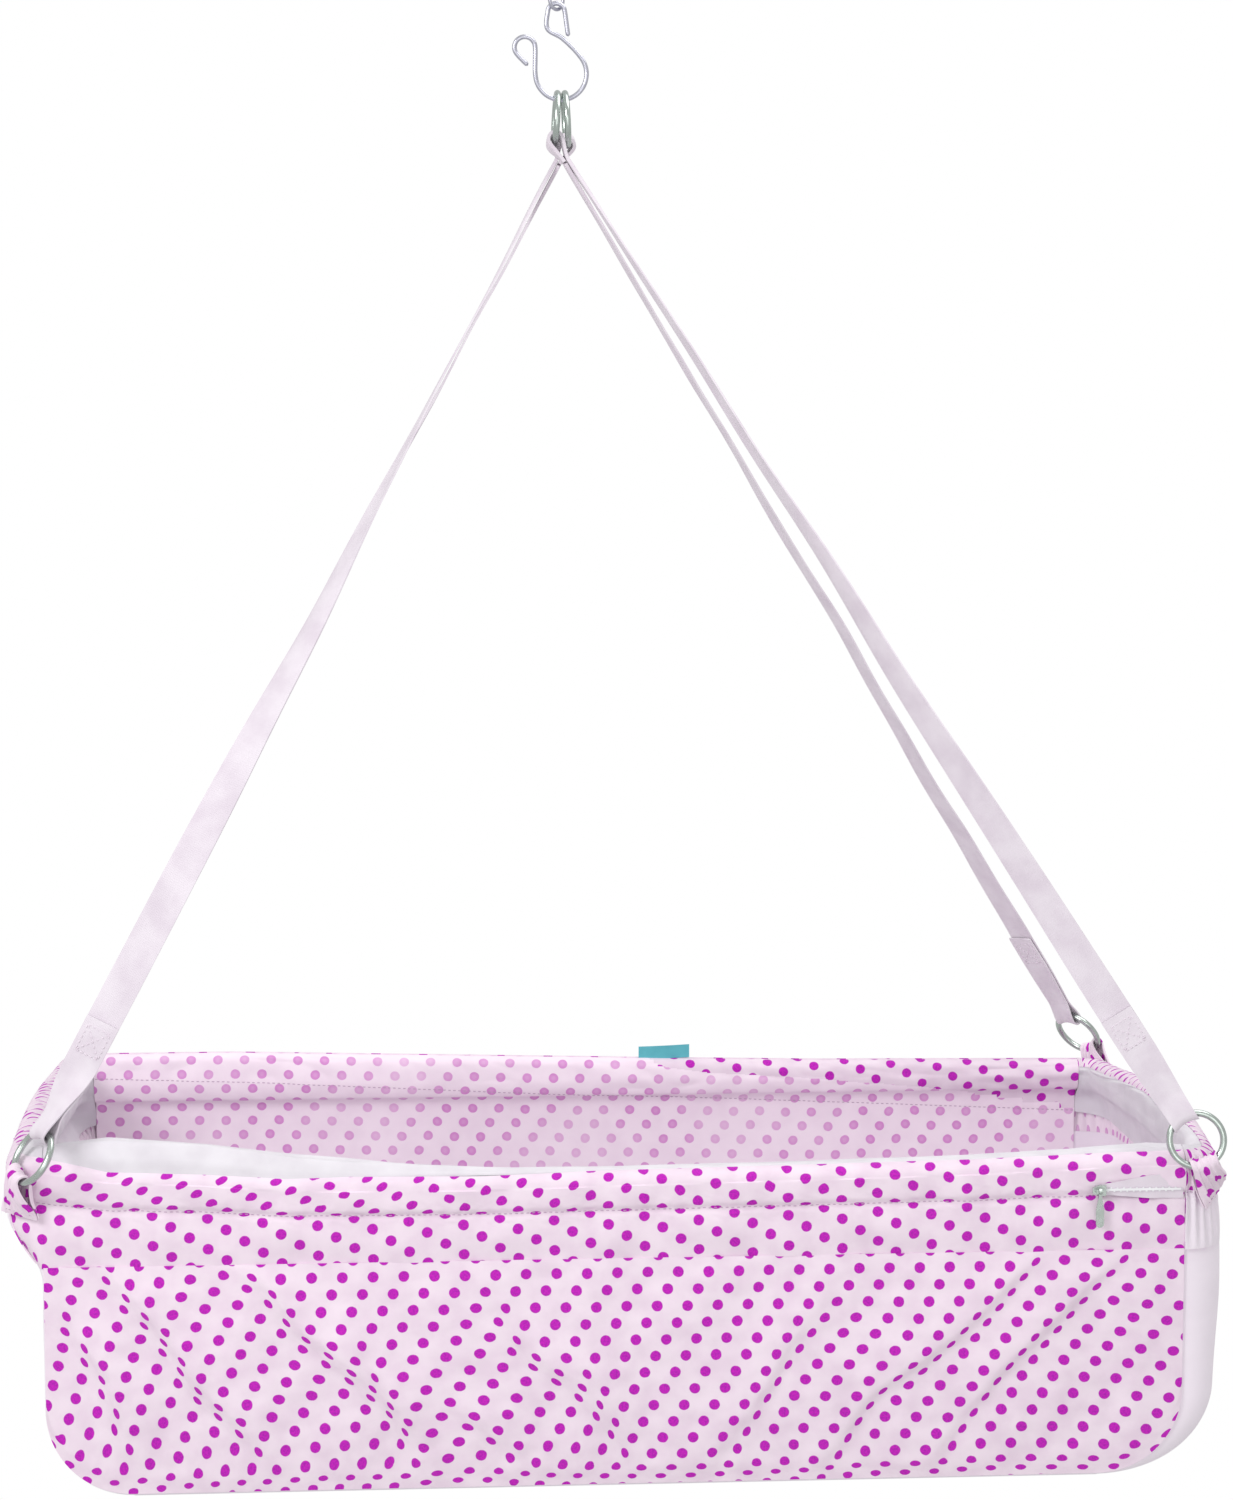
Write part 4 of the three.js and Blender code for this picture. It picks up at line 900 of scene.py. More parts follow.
@dataclass(frozen=True)
class RimCasing:
    """The dotted bands round the rim with their white and dotted facings.

    A facing's section turns round the rail and comes back down its inner side. Each row of turn
    gives the share of the turn, the shares of the lift and of the roll's puff that are added to
    its height, and how far a wide roll stands out. The puff, wedge and stitch line are heights
    along the basket.
    """

    rim: Rim
    finishes: Finishes
    crease: float = 0.028
    rows: int = 72
    wall_share: float = 0.66
    wrap: float = 0.030
    dip: float = 0.0022
    dip_width: float = 0.0024
    lower_swell: float = 0.0016
    upper_swell: float = 0.0008
    pucker: float = 0.0005
    pucker_pitch: float = 0.011
    pucker_reach: float = 0.009
    wrinkle: float = 0.0009
    gather: float = 0.0013
    gather_pitch: float = 0.0072
    gathered: float = 2.7
    end_stretch: float = 0.68
    tuck: float = 0.0070
    rolled_along: float = 0.41
    rolled_down: float = 0.24
    side_angle: float = 86.0
    end_angle: float = 68.0
    lap: float = 7.0
    stitch_pitch: float = 0.0042
    front_edge: float = 0.062
    rear_edge: float = 0.092
    end_edge: Pair = (0.046, 0.016)
    corner_roll: Pair = (0.010, 0.0045)
    roll_reach: float = 0.05
    turn: tuple[tuple[float, float, float, float], ...] = (
        (0.0, 1.0, -0.07, 0.0058), (0.2, 1.0, 0.35, 0.0075), (0.45, 1.0, 0.82, 0.0030),
        (0.72, 0.95, 1.0, 0.0), (0.96, 0.55, 0.62, -0.0006),
    )
    front_puff: Knots = (
        (-0.42, 0.010), (-0.37, 0.025), (-0.30, 0.023), (-0.226, 0.018), (-0.149, 0.0105), (-0.08, 0.006),
        (0.0, 0.0042), (0.2, 0.0040), (0.33, 0.0055), (0.39, 0.0075), (0.42, 0.0050),
    )
    wedge: Knots = (
        (0.0, 0.05), (0.055, 0.002), (0.095, -0.004), (0.17, -0.009), (0.28, -0.019), (0.325, -0.027),
        (0.42, -0.040),
    )
    rear_stitching: Knots = (
        (-0.407, -0.003), (-0.272, -0.008), (-0.071, -0.0195), (0.066, -0.027), (0.42, -0.045),
    )

    @property
    def shares(self) -> Array:
        """Shares of a section's rows, as a column."""
        return np.linspace(0.0, 1.0, self.rows)[:, None]

    @property
    def wall_depth(self) -> Array:
        """Depth below the crown of a band's wall at its rows, up to the rail's level."""
        return lerp(BAND_HEIGHT, RAIL_INSET, np.clip(self.shares / self.wall_share, 0.0, 1.0))

    def edge_angle(self, outline: Outline) -> Array:
        """Angle round the rail at which the band gives way to the facing.

        Front and rear stop short of the crown. The ends roll over it, less so at the front.
        """
        over = smooth((outline.plan[:, 1] + 0.150) / 0.110) * outline.is_end
        return np.radians(self.side_angle + self.end_angle * over)

    def band_section(self, outline: Outline, seed: int) -> tuple[Array, Array]:
        """Inset and height of the outer band, from its seam up over the rail's crown.

        Below the rail the wall is straight, drawn in at the casing stitch by a narrow dip and
        swelling softly between the seams. Above it runs a quarter circle round the rail. The
        ends' cloth stands out in gathers, a sine along the run. Last, each point moves straight
        out or in until it clears the tube.

        Args:
            outline: The outline.
            seed: Seed of the small wrinkles.

        Returns:
            Inset and height, rows by columns.
        """
        depth, run = self.wall_depth, outline.run[None, :]
        above = np.clip((self.shares - self.wall_share) / (1.0 - self.wall_share), 0.0, 1.0)
        turn = above * self.edge_angle(outline)[None, :]
        stitch = depth - self.crease
        swell = self.lower_swell * arch(stitch / (BAND_HEIGHT - self.crease), 1.5)
        swell = swell + self.upper_swell * arch(depth / self.crease)
        waves = np.sin(run * FULL_TURN / self.pucker_pitch + 2.0 * ripple(run, self.shares, 0.05, seed))
        pucker = self.pucker * waves * bell(stitch, self.pucker_reach)
        soft = self.wrinkle * ripple(run, depth * 1.5, 0.055, seed + 1)
        wall = self.dip * bell(stitch, self.dip_width) - swell + pucker - soft
        radius = CASING_RADIUS + CLOTH / 2.0
        inset = RAIL_INSET - radius * np.cos(turn) + 0.0003 + wall * (turn < 0.01)
        height = np.where(turn > 0.0, -RAIL_INSET + radius * np.sin(turn), -depth)
        raised = smooth(1.0 + (height + RAIL_INSET) / (BAND_HEIGHT - RAIL_INSET))
        height = height + self.rim.lift(outline)[None, :] * raised
        if outline.is_end:
            phase = FULL_TURN * run / self.gather_pitch + 1.3 * ripple(run, 0.0, 0.07, 5)
            inset = inset - self.gather * np.sin(phase) * arch(self.shares, 0.5)
        reach = np.sqrt(np.maximum(CASING_RADIUS**2 - (height + RAIL_INSET) ** 2, 0.0))
        side = np.where(inset < RAIL_INSET, -1.0, 1.0)
        return RAIL_INSET + side * np.maximum(np.abs(inset - RAIL_INSET), reach), height

    @staticmethod
    def across_grid(grid: Array, row: Array) -> Array:
        """Values of a grid at one row, with a fraction, for each column."""
        column = np.arange(grid.shape[1])
        first = row.astype(int)
        return lerp(grid[first, column], grid[first + 1, column], (row - first)[:, None])

    @staticmethod
    def inner_row(points: Array, level: Array) -> Array:
        """Find where each column of a grid last falls through a level.

        Args:
            points: The grid.
            level: The height for each column.

        Returns:
            The row, with its fraction, for each column.
        """
        above = points[..., 2] > level[None, :]
        row = np.minimum(len(points) - 1 - np.argmax(above[::-1], axis=0), len(points) - 3)
        column = np.arange(points.shape[1])
        upper, lower = points[row, column, 2], points[row + 1, column, 2]
        return row + np.clip((upper - level) / (upper - lower), 0.0, 0.999)

    def stitch_line(self, name: str, points: Array, row: Array) -> None:
        """Sew a line of stitches across a grid.

        Args:
            name: The object's name.
            points: The grid.
            row: The row, with its fraction, for each column.
        """
        places, directions = along_line(self.across_grid(points, row), self.stitch_pitch)
        line = self.across_grid(normals(points), row)
        out = unit(resample(np.linspace(0.0, 1.0, len(places)), np.linspace(0.0, 1.0, len(line)), line))
        thread = self.finishes.mauve_thread
        MeshMaker.stitches(name, places + out * 0.0002, directions, out, thread, "dotted_cloth")

    def build_band(self, side: str, outline: Outline, seed: int) -> None:
        """Make one band with its casing stitch.

        The print is taken up at the stitch, gathered along the ends, and sheared above the
        stitch at the front left, where the cloth rolls. Below the stitch the ends are plain.

        Args:
            side: The side's name.
            outline: Its outline.
            seed: Seed of its wrinkles.
        """
        inset, height = self.band_section(outline, seed)
        points = self.rim.surface(outline, inset, height)
        level = self.wall_depth
        crease_row = float(np.argmin(np.abs(level - self.crease)))
        along, down = outline.run * np.ones((self.rows, 1)), lengths(points, 0)
        if outline.is_end:
            along, down = along * self.gathered, down * self.end_stretch
        elif side == "front":
            rolled = np.maximum(down - down[int(crease_row)], 0.0) * (1.0 - smooth((outline.x + 0.25) / 0.30))
            along, down = along - self.rolled_along * rolled, down + self.rolled_down * rolled
        taken_up = self.tuck * smooth((self.crease + self.dip_width - level) / (2.0 * self.dip_width))
        uv = np.stack([along, down + taken_up], axis=-1)[:, ::outline.step]
        points = points[:, ::outline.step]
        name, cloths, flat = f"{side}_band_cloth", [self.finishes.band, self.finishes.wrong], measured(points)
        made = MeshMaker.cloth(name, points, CLOTH, uv, cloths, "dotted_cloth", flat)
        if outline.is_end:
            MeshMaker.paint(made, np.broadcast_to(level > self.crease, points.shape[:2]), self.finishes.plain)
        self.stitch_line(f"{side}_band_crease_stitches", points, np.full(len(outline.run), crease_row))

    def facing_section(self, outline: Outline, puff: Array, depth: Array) -> tuple[Array, Array]:
        """Inset and height of a facing, from under the band's edge to its own lower edge.

        It starts tucked under the band's edge, runs round the rail at the casing's radius to
        its inner side, and from there back under the rail and down the wall. The lift fades
        out along the inner side, so that the cloth stays clear of the rail. A Catmull-Rom
        spline runs through these controls.

        Args:
            outline: The outline.
            puff: Height of the facing's roll above the band's edge.
            depth: Depth of the lower edge.

        Returns:
            Inset and height, rows by columns.
        """
        lift, wide = self.rim.lift(outline), np.clip(puff / 0.03, 0.0, 1.0)
        start = self.edge_angle(outline) - math.radians(self.lap)
        controls = []
        for share, lift_share, puff_share, out in self.turn:
            angle = lerp(start, math.pi * 1.02, share)
            radius = CASING_RADIUS + (0.0002 if share > 0.0 else -0.0010)
            height = radius * np.sin(angle) - RAIL_INSET + lift * lift_share + puff * puff_share
            controls.append((RAIL_INSET - radius * np.cos(angle) - out * wide, height))
        controls += [
            (RAIL_INSET + 0.0096, lift * 0.1 - 0.0140 + puff * 0.1), (RAIL_INSET + 0.0060, -0.0225),
            (0.0053, -0.0335), (0.0041, -depth),
        ]
        shape = lift.shape
        stack = np.stack([[np.broadcast_to(value, shape) for value in control] for control in controls])
        padded = np.concatenate([2 * stack[:1] - stack[1:2], stack, 2 * stack[-1:] - stack[-2:-1]])
        place = np.linspace(0.0, len(controls) - 1 - 1e-6, self.rows)
        index = place.astype(int)
        t = (place - index)[:, None, None]
        p0, p1, p2, p3 = (padded[index + k] for k in range(4))
        square, cube = 2.0 * p0 - 5.0 * p1 + 4.0 * p2 - p3, 3.0 * p1 - p0 - 3.0 * p2 + p3
        curve = 0.5 * (2.0 * p1 + (p2 - p0) * t + square * t**2 + cube * t**3)
        return curve[:, 0], curve[:, 1]

    def build_facing(self, side: str, outline: Outline, puff: Array, depth: Array, seed: int) -> Array:
        """Make one facing: from under the band's edge over the roll and down the inside.

        Creases along the wall are ripples, and a wide roll has folds along it, a sine of its
        rows. The rear one shows the print's wrong side, with its bright side in a wedge.

        Args:
            side: The side's name.
            outline: Its outline.
            puff: Height of the facing's roll above the band's edge at each column.
            depth: Depth of its lower edge at each column.
            seed: Seed of its wrinkles.

        Returns:
            The grid of points.
        """
        inset, height = self.facing_section(outline, puff, depth)
        share, run = self.shares, outline.run[None, :]
        inset = inset + np.abs(ripple(run * 0.35, share * 0.07, 0.03, seed) * 0.0011 * arch(share))
        folds = 0.0011 * np.sin(share * 34.0 + 2.0 * ripple(run, 0.0, 0.3, seed + 1)) * arch(share * 1.6)
        height = height + folds * np.clip(puff / 0.012, 0.0, 1.0)[None, :]
        points = self.rim.surface(outline, inset, height)
        uv = np.stack([run * np.ones((self.rows, 1)), -lengths(points, 0)], axis=-1)
        points, uv = points[:, ::outline.step], uv[:, ::outline.step]
        rear = side == "rear"
        cloth, slot = (self.finishes.wrong, "dotted_cloth") if rear else (self.finishes.white, "white_lining")
        made = MeshMaker.cloth(f"{side}_facing_cloth", points, CLOTH, uv, [cloth], slot, measured(points))
        if rear:
            over = points[..., 2] - self.rim.top > through(points[..., 0] - BASKET_X, self.wedge)
            MeshMaker.paint(made, over, self.finishes.band)
        return points

    def build(self) -> None:
        """Make all four bands and facings."""
        front, rear = self.rim.side_outline(-1), self.rim.side_outline(1)
        level = np.ones(len(front.run))
        self.build_band("front", self.rim.round_corner(front, self.wrap), 10)
        self.build_facing("front", front, through(front.x, self.front_puff), self.front_edge * level, 31)
        self.build_band("rear", rear, 12)
        points = self.build_facing("rear", rear, 0.0004 * level, self.rear_edge * level, 37)
        line = self.rim.top + through(points[30, :, 0] - BASKET_X, self.rear_stitching)
        self.stitch_line("rear_facing_stitches", points, self.inner_row(points, line))
        for side, x_sign in ENDS:
            end = self.rim.end_outline(x_sign)
            start = int(np.argmax(end.run > self.wrap)) - 1 if x_sign < 0 else 0
            self.build_band(side, end.part(slice(start, None)), 21 + x_sign)
            roll = self.corner_roll[0 if x_sign < 0 else 1] * (1.0 - smooth(end.run / self.roll_reach))
            edge = self.end_edge[0] + self.end_edge[1] * arch(end.run / end.run[-1])
            self.build_facing(side, end, 0.0006 + roll, edge, 41 + x_sign)


@dataclass(frozen=True)
class Fold:
    """A slanted fold: its height, its steep side, 1 or -1, and its line, as places and depths."""

    height: float
    side: int
    line: Knots


@dataclass(frozen=True)
class BasketWalls:
    """The dotted side panels and the plain gusset strip."""

    rim: Rim
    finishes: Finishes
    steep: float = 0.0060
    gentle: float = 0.022
    fold_end: float = 0.014
    reach: float = 0.190
    taken_up: float = 3.3
    shift_from: float = -0.0025
    shift_span: float = 0.0165
    bias: float = 0.28
    bias_span: float = 0.14
    bias_from: Pair = (-0.21, 0.125)
    bias_way: Pair = (0.755, 0.656)
    lower_seam: float = 0.0105
    seam_roll: float = 0.015
    belly: float = 0.005
    seam_gap: float = 0.0002
    crowding: float = 0.86
    base_length: float = 0.7078
    folds: tuple[Fold, ...] = (
        Fold(0.0052, -1, ((-0.375, 0.058), (-0.347, 0.090), (-0.325, 0.117), (-0.302, 0.153), (-0.277, 0.178),
                          (-0.258, 0.200))),
        Fold(0.0044, -1, ((-0.278, 0.062), (-0.253, 0.079), (-0.233, 0.108), (-0.210, 0.125), (-0.185, 0.150),
                          (-0.150, 0.185))),
        Fold(0.0040, -1, ((-0.396, 0.099), (-0.383, 0.123), (-0.368, 0.150), (-0.353, 0.200))),
        Fold(0.0036, -1, ((-0.184, 0.127), (-0.175, 0.145), (-0.162, 0.167), (-0.147, 0.205))),
        Fold(0.0032, -1, ((-0.084, 0.096), (-0.073, 0.120), (-0.060, 0.134), (-0.042, 0.146), (-0.025, 0.159),
                          (-0.008, 0.186))),
        Fold(0.0022, -1, ((-0.120, 0.170), (-0.098, 0.184), (-0.082, 0.196), (-0.066, 0.207))),
        Fold(0.0026, -1, ((-0.022, 0.140), (-0.012, 0.162), (-0.001, 0.186), (0.011, 0.218))),
        Fold(0.0029, 1, ((0.140, 0.102), (0.120, 0.130), (0.105, 0.157), (0.089, 0.181), (0.070, 0.206))),
        Fold(0.0037, 1, ((0.383, 0.049), (0.370, 0.061), (0.313, 0.116), (0.270, 0.158), (0.234, 0.206))),
        Fold(0.0042, 1, ((0.316, 0.054), (0.305, 0.063), (0.260, 0.109), (0.222, 0.139), (0.184, 0.165),
                         (0.148, 0.215))),
    )

    @staticmethod
    def seam_depth(x: Array) -> Array:
        """Depth of the panel's lower seam: flat, with rounded corners of the panel's radius."""
        past = np.clip(np.abs(x) - (SEAM_X - PANEL_CORNER), 0.0, PANEL_CORNER)
        return SEAM_DEPTH - sagitta(PANEL_CORNER, past)

    def fold(self, x: Array, depth: Array) -> tuple[Array, Array]:
        """Height of the slanted folds and how far they shift the cloth's print.

        Each fold bends about a chord. The distance d from the fold is the distance across the
        chord less the fold's own offset there, positive on the steep side. The height is a
        bell of d, broad on the gentle side and narrow on the steep one. Cloth is taken up in
        the steep side, so the print moves across the chord by an eased step of d.

        Args:
            x: Place along the panel.
            depth: Place down the panel.

        Returns:
            Height out of the panel, and the print's shift along and down it.
        """
        spot = np.stack([x, depth], axis=-1)
        total, shift = np.zeros(x.shape), np.zeros(spot.shape)
        for fold in self.folds:
            curve = spline(np.array(fold.line), 6)
            size = float(np.linalg.norm(curve[-1] - curve[0]))
            way = (curve[-1] - curve[0]) / size
            across = np.array([way[1], -way[0]]) * fold.side
            knots, offsets = (curve - curve[0]) @ way / size, (curve - curve[0]) @ across
            place = (spot - curve[0]) @ way / size
            inside = np.clip(place, 0.0, 1.0)
            d = (spot - curve[0]) @ across - np.interp(inside, knots, offsets)
            past = (place - inside) * size
            ends = fold.height * arch(0.05 + 0.90 * inside, 0.6) * bell(past, self.fold_end)
            total += ends * bell(d, np.where(d > 0.0, self.steep, self.gentle))
            step = smooth((d - self.shift_from) / self.shift_span) * bell(np.maximum(d, 0.0), self.reach)
            shift += across * (ends * step * self.taken_up)[..., None]
        return total, shift

    def bias_drag(self, x: Array, depth: Array) -> Array:
        """How far the print is dragged along the left folds, growing to the left end.

        With q the distance left of the second fold, across the folds' direction, the drag's
        slope rises as bias * q / span up to the span and stays there.

        Args:
            x: Place along the panel.
            depth: Place down the panel.

        Returns:
            The print's shift along and down the panel.
        """
        along, down = self.bias_way
        q = np.maximum(along * (depth - self.bias_from[1]) - down * (x - self.bias_from[0]), 0.0)
        near = np.minimum(q, self.bias_span)
        drag = self.bias * (near**2 / (2.0 * self.bias_span) + (q - near))
        return -np.array(self.bias_way) * drag[..., None]

    def build_panel(self, side: str, y_sign: int) -> None:
        """Make one panel: belly, folds and small wrinkles on a grid whose rows follow its seam.

        Args:
            side: The side's name.
            y_sign: -1 for the front, 1 for the rear, whose folds are the front's mirrored.
        """
        rows, columns = 112, 410
        share = np.linspace(0.0, 1.0, rows)[:, None]
        quarter = math.pi / 2.0 * self.crowding
        spread = np.sin(quarter * np.linspace(-1.0, 1.0, columns)) / math.sin(quarter)
        x = (SEAM_X - self.seam_gap) * spread * np.ones((rows, 1))
        depth = lerp(BAND_HEIGHT - 0.0006, self.seam_depth(x), share)
        edge = arch(share, 0.8) * (1.0 - (x / SEAM_X) ** 6)
        folds, shift = self.fold(-y_sign * x, depth)
        shift = shift + self.bias_drag(x, depth)
        fine = 0.0008 * ripple(x, depth, 0.07, 51 + y_sign) + 0.0003 * ripple(x, depth, 0.025, 53 + y_sign)
        swell = self.belly * edge + (folds + fine) * np.minimum(edge * 3.0, 1.0)
        y = y_sign * (FRONT_Y + self.seam_gap + swell)
        points = np.stack([x + BASKET_X, y, self.rim.top - depth], axis=-1)[:, ::-y_sign]
        rolled = self.lower_seam * smooth(1.0 - (self.seam_depth(x) - depth) / self.seam_roll)
        uv = np.stack([x * 1.002 + shift[..., 0], -depth - shift[..., 1] - rolled], axis=-1)[:, ::-y_sign]
        cloths = [self.finishes.panel, self.finishes.wrong]
        MeshMaker.cloth(f"{side}_panel_cloth", points, CLOTH, uv, cloths, "dotted_cloth", measured(points))

    def gusset_section(self, x_sign: int, count: int) -> tuple[Array, Array, Array]:
        """Draw the rim's end outline in to lie between the panels.

        Args:
            x_sign: -1 for the left end, 1 for the right.
            count: Number of stations.

        Returns:
            Its y, how far the end reaches past the seam, and how far the base drops.
        """
        outline = self.rim.end_outline(x_sign, count)
        y = outline.plan[:, 1]
        end = np.maximum(x_sign * outline.x - SEAM_X, 0.0)
        past = np.maximum(np.abs(y) - CORNER_Y, 0.0)
        inner_y = np.sign(y) * (np.minimum(np.abs(y), CORNER_Y) + past * 0.93)
        return inner_y, end, BASE_DROP * np.minimum(end / CORNER_RADIUS, 1.0)

    def strip(self, name: str, points: Array, uv: Array, length: float) -> None:
        """Make a stretch of the plain strip from its grid of points."""
        flat = (measured(points)[1], length)
        MeshMaker.cloth(name, points, CLOTH, uv, [self.finishes.plain], "plain_cloth", flat)

    def build_gusset(self, side: str, x_sign: int) -> None:
        """Make one end of the strip: upright, then round the panels' corner to the base.

        A sagging fold, a sine down the strip under a bell that sways across it, and ripples
        lie on it.

        Args:
            side: The end's name.
            x_sign: -1 for the left end, 1 for the right.
        """
        columns, rows = 200, 110
        y, end, base = self.gusset_section(x_sign, columns)
        straight = SEAM_DEPTH - PANEL_CORNER - BAND_HEIGHT
        arc = PANEL_CORNER * math.pi / 2.0
        run, across = np.meshgrid(np.linspace(0.0, straight + arc, rows), y, indexing="ij")
        turn = np.clip((run - straight) / PANEL_CORNER, 0.0, math.pi / 2.0)
        depth = BAND_HEIGHT - 0.0004 + np.minimum(run, straight)
        full = x_sign * self.rim.drawn_in(x_sign * (SEAM_X + end[None, :]), depth) - SEAM_X
        sag = bell(across / FRONT_Y - 0.55 * np.sin(run * 24.0), 0.5) * np.sin(run * 62.0)
        soft = 0.0016 * ripple(across, run, 0.09, 61 + x_sign) + 0.0022 * sag
        middle = (1.0 - (across / FRONT_Y) ** 4) * arch(run / (straight + arc), 0.6)
        reach = PANEL_CORNER + lerp(full, base[None, :], smooth(turn / (math.pi / 2.0))) + soft * middle
        x = SEAM_X - PANEL_CORNER + reach * np.cos(turn)
        z = self.rim.top - depth - reach * np.sin(turn)
        points = np.stack([x_sign * x + BASKET_X, across, z], axis=-1)[:, ::x_sign]
        uv = np.stack([across, run], axis=-1)[:, ::x_sign]
        self.strip(f"{side}_gusset_cloth", points, uv, measured(points)[0])

    def build_base(self) -> None:
        """Make the strip under the base, with faint sag between the edges."""
        columns, rows = 160, 180
        y, _, base = self.gusset_section(1, columns)
        x, across = np.meshgrid(np.linspace(-0.5, 0.5, rows) * self.base_length, y, indexing="ij")
        middle = (1.0 - (across / FRONT_Y) ** 4) * (1.0 - (x / (SEAM_X - PANEL_CORNER)) ** 8)
        soft = np.abs(0.0005 * ripple(x, across, 0.12, 71)) * middle
        points = np.stack([x + BASKET_X, across, self.rim.top - SEAM_DEPTH - base[None, :] + soft], axis=-1)
        uv = np.stack([across, x], axis=-1)[:, ::-1]
        self.strip("base_gusset_cloth", points[:, ::-1], uv, self.base_length)

    def build(self) -> None:
        """Make the panels, both gussets and the base."""
        self.build_panel("front", -1)
        self.build_panel("rear", 1)
        for side, x_sign in ENDS:
            self.build_gusset(side, x_sign)
        self.build_base()


@dataclass(frozen=True)
class Corner:
    """One of the four corners: its name, signs, and the turns of its leg and tab in degrees."""

    name: str
    x_sign: int
    y_sign: int
    leg_turn: float
    tab_turn: float


CORNERS = (
    Corner("front_left", -1, -1, 32.0, 60.0),
    Corner("front_right", 1, -1, 85.0, 42.0),
    Corner("rear_left", -1, 1, -30.0, 60.0),
    Corner("rear_right", 1, 1, 33.0, 42.0),
)


@dataclass(frozen=True)
class Leg:
    """Frame of a leg: its ring's centre, the wire it turns round, its way up and its width.

    The width turns from the edge's direction towards the face's.
    """

    ring: Array
    wire: Array
    up: Array
    edge: Array
    face: Array
    length: float

    def turned(self, angle: Array) -> tuple[Array, Array]:
        """Width and normal of the strap where it has turned by an angle."""
        width = self.edge * np.cos(angle) + self.face * np.sin(angle)
        return width, np.cross(width, self.up)


@dataclass(frozen=True)
class Strip:
    """Stations along a strip that turns round a wire: reach from it, offset, and face's turn."""

    reach: Array
    out: Array
    turn: Array

    @classmethod
    def of(cls, reach: Sequence[Array], out: Sequence[Array], before: int, turn: Array) -> "Strip":
        """Join stretches; the face turns by the angles given after a number of stations."""
        count = sum(len(part) for part in reach)
        turns = np.concatenate([np.zeros(before), turn, np.full(count - before - len(turn), HALF_TURN)])
        return cls(*(part[:, None, None] for part in (np.concatenate(reach), np.concatenate(out), turns)))

    @classmethod
    def loop(cls, length: float, wrap: float, out: Array, count: int) -> "Strip":
        """A loop: down to the wire, half a turn round it, and back up on its other side.

        Args:
            length: Length of the loop.
            wrap: Radius of the turn.
            out: Offset from the loop's middle at even stations on the way to the wire.
            count: Stations of the turn.

        Returns:
            The strip.
        """
        down = np.linspace(length, 0.0, len(out))
        turn = np.linspace(0.0, HALF_TURN, count)[1:-1]
        reach = [down, -wrap * np.sin(turn), down[::-1]]
        return cls.of(reach, [out, wrap * np.cos(turn), -out[::-1]], len(out), turn)


